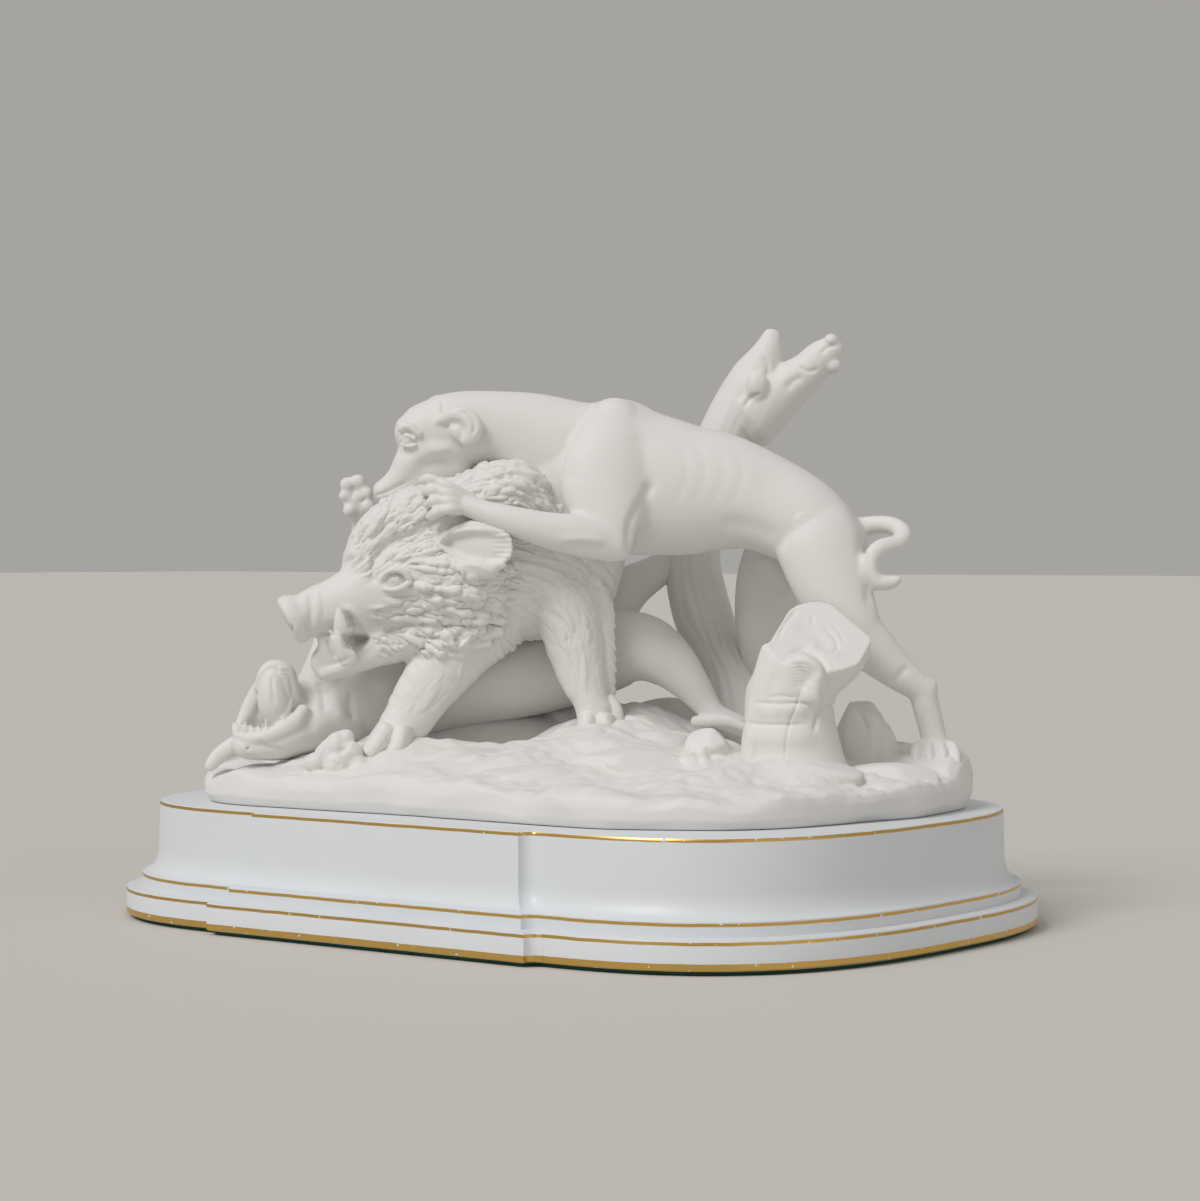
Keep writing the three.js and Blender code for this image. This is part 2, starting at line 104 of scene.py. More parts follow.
def limb(clay, stations, side=(0, 1, 0), sides=20, fine=FINE, blunt=0.8):
    """Adds a closed limb through ovals [across, away, up, half depth, half height] to the clay."""
    rows = flowing(stations, fine)
    rows[:, 3:] = np.maximum(rows[:, 3:], 0.25)
    along = np.gradient(rows[:, :3], axis=0)
    along /= np.linalg.norm(along, axis=1)[:, None]
    first = blunt * rows[0, 3:].min()
    last = blunt * rows[-1, 3:].min()
    rounding = ((1.0, 0.12), (0.86, 0.5), (0.5, 0.87))
    rings = [(rows[0, :3] - out * first * along[0], along[0], rows[0, 3:] * size) for out, size in rounding]
    rings += [(row[:3], way, row[3:]) for row, way in zip(rows, along)]
    rings += [(rows[-1, :3] + out * last * along[-1], along[-1], rows[-1, 3:] * size)
              for out, size in reversed(rounding)]
    made = bmesh.new()
    before = None
    for number, (centre, way, (deep, high)) in enumerate(rings):
        across = Vector(side) - Vector(way) * Vector(side).dot(Vector(way))
        across.normalize()
        rise = Vector(way).cross(across)
        place = Matrix.Translation(centre) @ Matrix((across * deep, rise * high, way)).transposed().to_4x4()
        closed = number in (0, len(rings) - 1)
        ring = bmesh.ops.create_circle(made, cap_ends=closed, segments=sides, radius=1,
                                       matrix=place)["verts"]
        edges = edges_round(ring)
        if before:
            bmesh.ops.bridge_loops(made, edges=before + edges)
        before = edges
    bmesh.ops.recalc_face_normals(made, faces=made.faces)
    pressed(clay, made)


def ball(clay, centre, radii, turn=0):
    """Adds an egg of clay, turned in the picture plane."""
    place = Matrix.Translation(centre) @ Matrix.Rotation(turn, 4, "Y") @ Matrix.Diagonal((*radii, 1))
    bmesh.ops.create_icosphere(clay, subdivisions=3, radius=1, matrix=place)


def new_piece(name, made):
    """A new object from a modelled mesh."""
    piece = bpy.data.objects.new(name, bpy.data.meshes.new(name))
    made.to_mesh(piece.data)
    made.free()
    bpy.context.scene.collection.objects.link(piece)
    return piece


def settle(piece):
    """Makes the piece's modifiers part of its mesh."""
    shape = bpy.data.meshes.new_from_object(piece.evaluated_get(bpy.context.evaluated_depsgraph_get()))
    piece.modifiers.clear()
    piece.data = shape


def kneaded(name, clay, grain, melt):
    """One closed skin round all the clay, with its seams smoothed; it replaces a first rough one."""
    if name in bpy.data.objects:
        bpy.data.objects.remove(bpy.data.objects[name])
    piece = new_piece(name, clay)
    skin = piece.modifiers.new("skin", "REMESH")
    skin.mode = "VOXEL"
    skin.voxel_size = grain
    soften = piece.modifiers.new("soften", "SMOOTH")
    soften.factor = 0.5
    soften.iterations = melt
    settle(piece)
    return piece


def clay_of(piece):
    """Fresh clay in the piece's shape."""
    clay = bmesh.new()
    clay.from_mesh(piece.data)
    return clay


def surface_of(piece):
    """A search tree of the piece's skin."""
    clay = clay_of(piece)
    tree = BVHTree.FromBMesh(clay)
    clay.free()
    return tree


def points_of(piece):
    """The places and the normals of the piece's points."""
    count = len(piece.data.vertices)
    place = np.empty(count * 3, np.float32)
    normal = np.empty(count * 3, np.float32)
    piece.data.vertices.foreach_get("co", place)
    piece.data.vertices.foreach_get("normal", normal)
    return place.reshape(-1, 3), normal.reshape(-1, 3)


def move_points(piece, place):
    """Gives the piece's points new places."""
    piece.data.vertices.foreach_set("co", place.ravel())
    piece.data.update()


def inside(outline, x, z):
    """Whether points lie inside a closed outline."""
    within = False
    for (x0, z0), (x1, z1) in zip(outline, outline[1:] + outline[:1]):
        if z0 != z1:
            within = within ^ (((z0 > z) != (z1 > z)) & (x < x0 + (z - z0) * (x1 - x0) / (z1 - z0)))
    return within


def growth(guides, x, z):
    """The way the hair grows at points, between strokes [across, up, degrees] drawn on the model."""
    across, up = 0, 0
    for near_x, near_z, lean in guides:
        near = 1 / ((near_x - x) ** 2 + (near_z - z) ** 2 + 4) ** 2
        across = across + near * math.cos(math.radians(lean))
        up = up + near * math.sin(math.radians(lean))
    size = np.maximum(np.hypot(across, up), 1e-12)
    return across / size, up / size


# Where a line of sight starts, nearer to the viewer than every figure
SIGHT_START = -200


def hair(tree, guides, outline, gap, length, width, lift, fan):
    """Locks [foot, normal, way, length, width, lift] in staggered rows over an area of the skin."""
    locks = []
    low_x, low_z = np.min(outline, axis=0)
    high_x, high_z = np.max(outline, axis=0)
    for row, z in enumerate(np.arange(low_z, high_z, 0.5 * width * gap)):
        for x in np.arange(low_x + (row % 3) * length * gap / 3, high_x, length * gap):
            x_here = x + random.uniform(-0.25, 0.25) * length
            z_here = z + random.uniform(-0.3, 0.3) * width
            if not inside(outline, x_here, z_here):
                continue
            hit = tree.ray_cast(Vector((x_here, SIGHT_START, z_here)), Vector((0, 1, 0)))
            if hit[0] is None:
                continue
            across, up = growth(guides, x_here, z_here)
            turn = math.radians(random.gauss(0, fan))
            way = Vector((across * math.cos(turn) - up * math.sin(turn), 0,
                          across * math.sin(turn) + up * math.cos(turn)))
            way -= hit[1] * way.dot(hit[1])
            if way.length < 0.15:
                continue
            size = random.uniform(0.75, 1.2)
            locks.append((hit[0], hit[1], way.normalized(), length * size,
                          width * random.uniform(0.75, 1.15), lift * size))
    return locks


def combed(piece, locks):
    """Raises the locks from a thin root to a thick blunt tip."""
    place, normal = points_of(piece)
    search = KDTree(len(place))
    for number, spot in enumerate(place):
        search.insert(spot, number)
    search.balance()
    raised = np.zeros(len(place), np.float32)
    for number, (foot, out, way, length, width, lift) in enumerate(locks):
        found = search.find_range(foot, 0.75 * length)
        if not found:
            continue
        near = np.array([item[1] for item in found])
        away = place[near] - np.array(foot)
        t = away @ np.array(way) / length + 0.45
        b = away @ np.array(out.cross(way)) / (0.5 * width)
        b = b + 0.35 * np.sin(3 * t + number)
        taper = np.clip((1 - t) * 3.6, 0.02, 1) ** 0.5
        chosen = (t > 0) & (t < 1) & (np.abs(b) < taper) & (normal[near] @ np.array(out) > 0.3)
        near, t, b, taper = near[chosen], t[chosen], b[chosen], taper[chosen]
        high = lift * t * np.sqrt(1 - (b / taper) ** 2) ** 0.8 * np.clip((1 - t) * 7, 0, 1)
        better = high > raised[near]
        raised[near[better]] = high[better]
    move_points(piece, place + normal * raised[:, None])


# A sheet is relief over the picture plane, in cells of half a millimetre
SHEET_LOW, SHEET_HIGH, SHEET_STEP = (-190, 100), (45, 320), 0.5
ACROSS, UP = np.meshgrid(np.arange(SHEET_LOW[0], SHEET_HIGH[0], SHEET_STEP),
                         np.arange(SHEET_LOW[1], SHEET_HIGH[1], SHEET_STEP))


def softened(sheet, wide):
    """A sheet drawn in the picture plane, blurred over some millimetres."""
    rows, columns = [np.fft.fftfreq(cells, SHEET_STEP) for cells in sheet.shape]
    fast = columns[None] ** 2 + rows[:, None] ** 2
    return np.fft.ifft2(np.fft.fft2(sheet) * np.exp(-2 * (math.pi * wide) ** 2 * fast)).real


def filled(outline):
    """A sheet that is 1 inside a closed outline."""
    return inside(outline, ACROSS, UP).astype(float)


COMB_STRIDE = 1.5


def strokes(guides, wide, run, seed):
    """A sheet of strands: uneven clay, combed along the way the hair grows."""
    way_x, way_z = growth(guides, ACROSS, UP)
    rough = softened(np.random.default_rng(seed).standard_normal(ACROSS.shape), wide)
    total = np.zeros(ACROSS.shape)
    for sign in (-1, 1):
        row, column = [spot.astype(float) for spot in np.indices(ACROSS.shape)]
        for step in range(run):
            i = np.clip(row.round().astype(int), 0, ACROSS.shape[0] - 1)
            j = np.clip(column.round().astype(int), 0, ACROSS.shape[1] - 1)
            total += rough[i, j]
            column += COMB_STRIDE * sign * way_x[i, j]
            row += COMB_STRIDE * sign * way_z[i, j]
    return total / total.std()


def read_off(sheet, x, z):
    """The sheet's height at points of the picture plane, smoothly between its cells."""
    column = np.clip((x - SHEET_LOW[0]) / SHEET_STEP, 0, sheet.shape[1] - 1.01)
    row = np.clip((z - SHEET_LOW[1]) / SHEET_STEP, 0, sheet.shape[0] - 1.01)
    j, i = column.astype(int), row.astype(int)
    s, t = column - j, row - i
    lower = (1 - s) * sheet[i, j] + s * sheet[i, j + 1]
    upper = (1 - s) * sheet[i + 1, j] + s * sheet[i + 1, j + 1]
    return (1 - t) * lower + t * upper


def folded(piece, folds, facing=True):
    """Presses creases (deep above 0) or raises ridges (below 0) along paths in the picture plane."""
    place, normal = points_of(piece)
    push = np.zeros(len(place), np.float32)
    for near, far, wide, deep, path in folds:
        points = flowing(path)
        low = points.min(0) - 3 * wide
        high = points.max(0) + 3 * wide
        seen = (normal[:, 1] < 0.35) if facing else np.ones(len(place), bool)
        chosen = np.where(seen & (place[:, 1] > near) & (place[:, 1] < far) & (place[:, 0] > low[0])
                          & (place[:, 0] < high[0]) & (place[:, 2] > low[1]) & (place[:, 2] < high[1]))[0]
        if not len(chosen):
            continue
        flat = place[chosen][:, (0, 2)]
        best = np.full(len(chosen), 1e9)
        fade = np.ones(len(chosen))
        for number, (a, b) in enumerate(zip(points[:-1], points[1:])):
            run = b - a
            t = np.clip(((flat - a) @ run) / max(run @ run, 1e-9), 0, 1)
            gap = np.linalg.norm(flat - a - t[:, None] * run, axis=1)
            share = (number + t) / (len(points) - 1)
            fade = np.where(gap < best, np.minimum(1, 0.25 + 5 * np.minimum(share, 1 - share)), fade)
            best = np.minimum(best, gap)
        push[chosen] -= deep * fade * np.exp(-(best / wide) ** 2)
    move_points(piece, place + normal * push[:, None])


def thinned(piece, most):
    """Thins the mesh to a number of triangles, where it is flat first."""
    thin = piece.modifiers.new("thin", "DECIMATE")
    triangles = sum(len(face.vertices) - 2 for face in piece.data.polygons)
    thin.ratio = min(1, most / triangles)
    settle(piece)


SUNK = 1.5


def set_down(piece, sunk=SUNK):
    """Turns the piece onto the plinth, a little sunk into the ground, and makes it metres."""
    turn = Matrix.Rotation(VIEW_TURN, 4, "Z")
    piece.data.transform(Matrix.Scale(MM, 4) @ turn @ Matrix.Translation((0, 0, -sunk)))
    piece.data.shade_smooth()
    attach(piece, "root")
    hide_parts("porcelain_group")


random.seed(3)
clay = bmesh.new()
# Barrel, shoulders, neck, forehead and muzzle
limb(clay, [[-30, -5, 236, 44, 52], [-26, 30, 238, 45, 54], [-22, 72, 241, 43, 51], [-20, 108, 240, 41, 49],
            [-20, 130, 234, 34, 42]], side=(1, 0, 0), sides=32)
limb(clay, [[0, 8, 230, 38, 50], [-16, 2, 235, 43, 56], [-36, -2, 240, 46, 60], [-62, -10, 238, 44, 57],
            [-82, -16, 233, 40, 52], [-102, -20, 226, 34, 43], [-121, -25, 218, 27, 32],
            [-138, -28, 211, 21, 23.5], [-152, -31, 206.5, 17, 18.5], [-166, -34, 203, 14.5, 16],
            [-176, -36, 198.5, 13, 14]], sides=32)
limb(clay, [[-134, -27, 222, 14, 18], [-130, -27, 240, 17.5, 19], [-120, -27, 254, 20, 20],
            [-102, -27, 263, 24, 21], [-80, -28, 269, 26, 19.5], [-58, -29, 276, 25, 22],
            [-42, -30, 277.5, 24, 24], [-31, -28, 270, 20, 20], [-24, -22, 256, 17, 18]], sides=24)
# Snout disc, seen nearly edge on
limb(clay, [[-174, -36, 201, 12, 13], [-178, -36.5, 199, 15, 16], [-181.5, -37, 197.2, 16, 17],
            [-184.5, -37.5, 195.6, 15.4, 16.4]], blunt=0.1, sides=28)
# Lower jaw and the wall of the mouth
limb(clay, [[-94, -20, 194, 24, 22], [-112, -23, 183, 18, 14], [-128, -26, 176, 14.5, 10],
            [-142, -28, 169.5, 12.5, 7.6], [-153, -29.5, 165.2, 11.5, 6.8], [-162, -31, 162.6, 9.5, 6]],
            sides=24)
limb(clay, [[-164, -32, 178, 7, 17], [-156, -32, 179, 8.5, 17], [-146, -31, 181, 9.5, 15],
            [-136, -30, 183, 11, 13], [-124, -28, 186, 13, 12]], blunt=0.15)
limb(clay, [[-158, -30, 187, 6, 4], [-160, -30, 179, 8, 5], [-164.5, -30, 171, 9, 6.5],
            [-163, -30, 165, 8, 6]], sides=16)
# Forelegs braced apart, hind legs drawn up under the rump, and the tail
limb(clay, [[-14, -14, 230, 26, 32], [-6, -22, 206, 21, 24], [0, -26, 180, 17, 19.5],
            [5, -29, 160, 13, 15.5], [10, -31, 145, 11, 11.5], [13, -32, 137, 11, 12.5]], sides=24)
limb(clay, [[-58, -14, 202, 26, 32], [-75, -24, 181, 20, 25.5], [-90, -29, 160, 16, 20.5],
            [-101, -32, 144, 13.5, 18], [-108, -34, 132, 12.5, 16.5], [-114, -36, 125, 12, 15]], sides=24)
for x, sway in ((0, 4), (-46, -6)):
    limb(clay, [[x - 4, 104, 226, 22, 28], [x, 96, 198, 20, 22], [x + sway, 104, 172, 14, 16],
                [x + sway, 126, 156, 10, 11], [x + sway, 132, 140, 9, 9], [x + sway, 130, 126, 10, 10]])
limb(clay, [[-20, 150, 262, 5, 6], [-16, 162, 248, 4, 4], [-12, 165, 226, 3.6, 3.6], [-10, 162, 204, 5, 5]])
boar = kneaded("boar", clay, grain=1.6, melt=9)
clay = clay_of(boar)

# Eyes, with their lids and the brow above
for side in (-1, 1):
    middle = -26
    out = 24 * side
    ball(clay, (-114.8, middle + 0.99 * out, 222.6), (5.8, 5, 5))
    limb(clay, [[-125.5, middle + 0.84 * out, 218.5, 1.4, 1.2], [-121.5, middle + 1.12 * out, 226, 1.8, 1.5],
                [-115.5, middle + 1.22 * out, 229.4, 2, 1.6], [-109, middle + 1.2 * out, 228, 1.8, 1.5],
                [-105, middle + 1.16 * out, 223.5, 1.4, 1.2]], sides=10)
    limb(clay, [[-125.5, middle + 0.84 * out, 218.5, 1.2, 1], [-119.5, middle + 1.1 * out, 216.6, 1.6, 1.2],
                [-112.5, middle + 1.18 * out, 216.9, 1.6, 1.2], [-105, middle + 1.16 * out, 221.5, 1.2, 1]],
                sides=10)
    # Tusks
    y = middle - 4 + 18.5 * side
    limb(clay, [[-144.5, y + 0.5 * side, 171, 4, 6.2], [-147.5, y + 2.5 * side, 177.5, 4, 5.8],
                [-151.5, y + 4 * side, 184, 3, 4.2], [-156.5, y + 5 * side, 190.5, 0.7, 0.8]], sides=16)
    limb(clay, [[-148, y - side, 190, 5, 6.8], [-148.8, y + 0.6 * side, 194.5, 4.6, 5.6],
                [-150, y + 1.6 * side, 199.5, 3, 3.5], [-150.6, y + 2 * side, 205, 0.7, 0.9]], sides=16,
                blunt=0.3)
# Ears: the near one is a leaf-shaped cup, the far one lies back behind the mane
limb(clay, [[-85.4, -46, 246.4, 8, 5], [-79, -50, 246.2, 9, 11], [-69.5, -54, 245.9, 9, 15.4],
            [-59.9, -58, 245, 8, 16.3], [-50.4, -62, 243.5, 6, 14.5], [-44, -65, 243.2, 4, 11],
            [-40, -66, 243.2, 2.6, 6.5]], sides=28, blunt=0.5)
limb(clay, [[-76, 20, 258, 7, 9], [-60, 26, 262, 6, 15], [-46, 31, 262, 4.5, 15], [-33, 36, 258, 3, 9]])
# Cloven hoofs and the dew claw
HOOFS = ((14, -36, 124, 0.1, 1.0, 1.12), (-115, -42, 117, 0.9, 0.9, 1.3), (4, 128, 122, 0.3, 1.0, 1),
         (-52, 122, 120, 0.3, 1.0, 1))
for x, y, z, turn, apart, big in HOOFS:
    for half in (-1, 1):
        limb(clay, [[x + 5.2 * half * apart, y + 5 * half * (1 - apart), z + 10, 9 * big, 6 * big],
                    [x + 6 * half * apart * big - 5 * turn, y + 6 * half * (1 - apart) - 3, z, 11 * big,
                     6 * big],
                    [x + 6.4 * half * apart * big - 11 * turn, y + 6.5 * half * (1 - apart) - 6, z - 8,
                     10 * big, 5.6 * big]],
             sides=14, blunt=0.3)
limb(clay, [[22, -30, 146, 4, 4], [26, -32, 139, 4.5, 5], [28, -34, 131, 3.5, 4]], sides=12)
# Tufts along the backs of the forelegs, which show in the outline
for k in range(12):
    t = k / 11
    limb(clay, [[14 + 3 * math.sin(3 * t), -27, 220 - 78 * t, 3.8, 3.8],
                [20 + 2 * math.sin(3 * t), -26, 214 - 78 * t, 3, 3.2],
                [24.5 + 2 * math.sin(3 * t), -25, 206 - 78 * t, 1.3, 1.3]], sides=8, fine=2)
for k in range(8):
    t = k / 7
    limb(clay, [[-60 - 46 * t, -33, 192 - 56 * t, 3, 3], [-54 - 46 * t, -32, 187 - 56 * t, 2.2, 2.4],
                [-50 - 47 * t, -31, 181 - 56 * t, 0.9, 0.9]], sides=8, fine=2)
boar = kneaded("boar", clay, grain=0.85, melt=2)

folded(boar, [
    # Ribs near the edge of the ear
    *[(-90, -40, 0.9, 0.7,
       [(-52, 237 + 3 * k), (-46, 236.5 + 3.2 * k), (-39, 236 + 3.5 * k)]) for k in range(6)],
    (-90, -40, 1.4, 0.8, [(-82, 251), (-72, 256.5), (-60, 257)]),
    # Nostril, bone of the nose and the bare skin round the eye
    (-80, 0, 2.4, 3.0, [(-183.5, 192.5), (-181.5, 189.5)]),
    (-80, 0, 2.4, 2.0, [(-170, 215), (-168.5, 204), (-170, 189)]),
    (-80, 0, 1.6, 0.9, [(-163, 215), (-160.5, 207), (-161, 197)]),
    (-80, 0, 3.0, -1.2, [(-160, 221), (-148, 226), (-139, 234), (-137, 246)]),
    (-80, 0, 2.6, 1.6, [(-122, 247), (-127, 239), (-130, 229), (-127, 219)]),
    (-80, 0, 3.0, -1.4, [(-126, 249), (-131, 239), (-134, 228)]),
    (-80, 0, 1.4, 0.9, [(-122, 231), (-116, 234.5), (-108, 233), (-102, 228)]),
    (-80, 0, 3.5, -1.2, [(-120, 238), (-110, 239), (-100, 235)]),
    (-80, 0, 1.2, 2.2, [(-117, 223.4), (-116.6, 223.2)]),
    (-80, 0, 0.7, 0.9, [(-116.8 + 2.7 * math.cos(0.7 * k),
                         223.3 + 2.7 * math.sin(0.7 * k)) for k in range(10)]),
    # Fold behind the upper tusk, corner of the mouth and the lips
    (-80, -20, 1.6, 2.4, [(-144.5, 200), (-142.5, 192)]),
    (-80, -20, 2.2, -2.0, [(-148, 205.5), (-142, 203), (-137, 197), (-133.5, 189)]),
    (-80, -20, 3.0, 6.0, [(-143, 183.5), (-138, 184.5), (-132, 186)]),
    (-80, -20, 1.2, 1.8, [(-159.5, 184.5), (-157, 178), (-153.5, 172.5)]),
    (-80, 0, 1.2, 1.2, [(-165, 187.5), (-158, 188), (-152, 187.5)]),
    (-80, 0, 1.5, -0.9, [(-163, 190.5), (-156, 191)]),
    (-80, 0, 1.4, 1.0, [(-160, 167.5), (-150, 170), (-143, 173.5)]),
])
skin = surface_of(boar)
# The coat lies along strokes [across, up, degrees] and grows inside outlines drawn on the model
GUIDES = ((-134, 262, 62), (-112, 272, 55), (-93, 281, 42), (-125, 247, 50), (-112, 247, 26), (-93, 249, 14),
          (-98, 262, 32), (-80, 268, 20), (-96, 226, -5), (-80, 217, -3), (-60, 217, 0), (-46, 210, 0),
          (-86, 198, -5), (-66, 194, -3), (-100, 186, -22), (-112, 198, 8), (-94, 178, -38),
          (-120, 176, -30), (-36, 236, -14), (-10, 224, -24), (-28, 204, -38), (10, 212, -62),
          (10, 172, -84), (-22, 178, -58), (-92, 150, -126),
          (-66, 184, -140), (-78, 292, 34), (-50, 298, 14), (-28, 286, -22), (-18, 272, -42), (-50, 276, 4),
          (-150, 208, 6), (-170, 206, 4))
EYE = [(-114.8 + 10 * math.cos(k), 222.8 + 7.5 * math.sin(k)) for k in range(6)]
EAR = [(-87.6, 246.4), (-80.5, 256.6), (-66.5, 261.7), (-53.8, 259.8), (-44.2, 254.7), (-38, 248.3),
       (-38, 238.7), (-44.2, 232.4), (-53.8, 227.9), (-66.5, 230.4), (-78, 235.5), (-85.6, 243.2)]
HOLLOW = [(-84.9, 246.4), (-79.1, 250.8), (-66.4, 252.7), (-52.4, 252.1), (-42.2, 247.7), (-40.9, 240.6),
          (-47.3, 234.9), (-57.5, 233.6), (-68.9, 236.2), (-79.1, 241.3)]
CREST = [(-150, 238), (-139, 262), (-126, 276), (-116, 296), (-82, 306), (-52, 314), (-34, 314), (-10, 296),
         (0, 268), (-30, 250), (-88, 240), (-104, 232), (-122, 230), (-131, 220)]
CHEEK = [(-104, 232), (-88, 244), (-30, 250), (-30, 236), (-42, 206), (-56, 186), (-74, 178), (-104, 170),
         (-124, 172), (-131, 184), (-130, 204), (-112, 214), (-98, 214)]
NECK = [(-30, 250), (-6, 268), (30, 250), (30, 200), (4, 184), (-20, 172), (-50, 172), (-74, 170),
        (-56, 186), (-42, 206)]
LEGS = [(-74, 178), (30, 200), (30, 150), (-10, 146), (-30, 172), (-70, 150), (-90, 134), (-126, 140),
        (-104, 172)]
JOWL = [(-104, 228), (-88, 238), (-36, 228), (-42, 206), (-54, 190), (-72, 184), (-90, 178), (-104, 178),
        (-112, 200)]
LIP_CORNER = [(-128, 177), (-131, 190), (-128, 206), (-112, 210), (-96, 204), (-96, 180)]
# The coat is long on the crest and the cheek, short on the legs, and bare round the ear and the eye
area = 0
for outline, share in ((CREST, 1.0), (CHEEK, 1.1), (NECK, 0.55), (LEGS, 0.28)):
    area = np.maximum(area, share * filled(outline))
# The ruff of the cheek overlaps the neck in three steps [set back, rise]
EDGE = [(-104, 232), (-60, 236), (-44.1, 226), (-49.2, 219.6), (-42.8, 215.2), (-48.6, 207.5),
        (-42.2, 202.4), (-47.3, 196.1), (-45.4, 189.7), (-54.9, 184.6), (-53.7, 179.5), (-66.4, 178.2),
        (-71.5, 171.8), (-85.5, 174.4), (-104, 180)]
TIERS = ((0, 5), (13, 3), (26, 2))
tiers = 0
for back, rise in TIERS:
    tier = softened(filled([(x - back, z) for x, z in EDGE]), 0.6)
    tiers = tiers + rise * np.clip((ACROSS + 98 + back) / 45, 0, 1) * tier
area = softened(area, 2) * (1 - softened(np.maximum(filled(EAR), filled(EYE)), 0.8))
# Broad locks with deep partings, and finer strands on top of them
broad = strokes(GUIDES, wide=1.3, run=16, seed=5)
narrow = strokes(GUIDES, wide=0.55, run=12, seed=6)
coat = tiers + area * (0.75 * broad - 1.5 * np.exp(-(broad / 0.3) ** 2)
                       + 0.28 * narrow - 0.5 * np.exp(-(narrow / 0.4) ** 2))
# The cup of the ear, and the open mouth behind the tusks
MOUTH = [(-147, 186.5), (-140.8, 188), (-133, 186), (-134.5, 181), (-142.1, 177.5), (-146, 180)]
hollow = softened(filled(HOLLOW), 1.6) * (8.5 - 5 * np.clip((ACROSS + 85) / 45, 0, 1))
hollow += 9 * softened(filled(MOUTH), 1.1)
# The far side carries a plainer coat, combed as if the body were unrolled
FLANK_GUIDES = ((-160, 150, 72), (-110, 200, 104), (-70, 140, 80), (-30, 200, 100), (10, 150, 76),
                (30, 260, 96))
flank = strokes(FLANK_GUIDES, wide=0.9, run=7, seed=7)
UNROLLED, FLANK_RELIEF = 36, 0.42
place, normal = points_of(boar)
x, y, z = place.T
front = np.clip((26 - y) / 16, 0, 1)
back = np.clip((y - 10) / 16, 0, 1) * np.clip((z - 138) / 20, 0, 1)
round_body = np.arctan2(z - 235, x + 24)
push = front * read_off(coat, x, z)
push += back * FLANK_RELIEF * read_off(flank, SHEET_LOW[0] + (round_body + math.pi) * UNROLLED, y + 112)
place += normal * push[:, None]
place[:, 1] += np.where((y < -34) & (normal[:, 1] < 0), read_off(hollow, x, z), 0)
move_points(boar, place)
# Single locks stand out from the combed coat, but none on the ear or the eye
clumps = hair(skin, GUIDES, CREST, gap=1.1, length=24, width=8, lift=1.5, fan=5)
clumps += hair(skin, GUIDES, JOWL, gap=0.85, length=19, width=8.5, lift=2.6, fan=6)
clumps += hair(skin, GUIDES, LIP_CORNER, gap=0.9, length=12, width=6, lift=1.2, fan=14)
clumps = [lock for lock in clumps
          if not any(inside(outline, lock[0].x, lock[0].z) for outline in (EAR, EYE))]
combed(boar, clumps)
thinned(boar, most=197000)
set_down(boar)

# Upper hound
# It was cast with the boar and joined to it with slip at the forelegs and the jaw. The short coat is smooth,
# so only the bones, muscles and folds of skin are modelled.
clay = bmesh.new()
limb(clay, [[-12, -12, 292, 22, 28], [4, -14, 290, 28, 42], [24, -16, 289, 32, 52], [46, -18, 285, 33, 47],
            [72, -22, 281, 31, 43], [97, -26, 279, 28, 38], [123, -30, 272, 26, 32], [148, -34, 259, 27, 29],
            [168, -36, 242, 25, 23], [178, -36, 229, 18, 14]], sides=36)
limb(clay, [[22, -14, 297, 24, 38], [-3, -12, 306, 23, 34], [-29, -10, 316, 21, 29], [-55, -10, 321, 19, 25],
            [-76, -10, 322, 19, 23.5], [-91, -10, 320, 18, 21.5], [-101, -10, 319, 16.5, 18],
            [-107, -10, 317, 13.5, 14]],
     sides=32)
limb(clay, [[-98, -10, 308, 16, 17], [-106, -10, 299, 13.5, 13], [-112.5, -10, 290.5, 11, 10],
            [-119, -10, 284, 9.5, 8.4], [-126, -10, 279.5, 8.5, 7.6]], sides=24)
ball(clay, (-127, -10, 281), (5.5, 6.5, 5))
limb(clay, [[-78, -8, 300, 15, 14], [-94, -9, 294, 12, 11], [-108, -10, 285, 9, 9], [-118, -10, 277, 8, 7]])
ball(clay, (-86, -20, 308), (16, 9, 8), turn=0.2)
# Near and far foreleg, from the shoulder blade to the paw on the mane
limb(clay, [[28, -26, 333, 9, 13], [24, -39, 306, 13, 28], [20, -46, 280, 15, 29], [23, -53, 257, 13, 20],
            [27, -57, 244, 10, 12.5]], sides=28)
limb(clay, [[28, -57, 245, 9, 11.5], [6, -60, 250.5, 11, 13.5], [-19, -62, 255, 10, 11.5],
            [-41, -61, 261, 9, 9.5], [-60, -57, 267, 8, 7.5], [-74, -53, 272.5, 8, 7],
            [-84, -50, 277, 8, 6.5]], sides=24)
ball(clay, (30.5, -58, 240.5), (6.5, 7, 5.5))
limb(clay, [[26, 2, 326, 9, 14], [16, 16, 300, 13, 26], [4, 24, 276, 13, 22], [-10, 28, 262, 10, 14],
            [-40, 26, 268, 9, 10], [-62, 20, 276, 8, 8], [-76, 16, 280, 9, 7]])
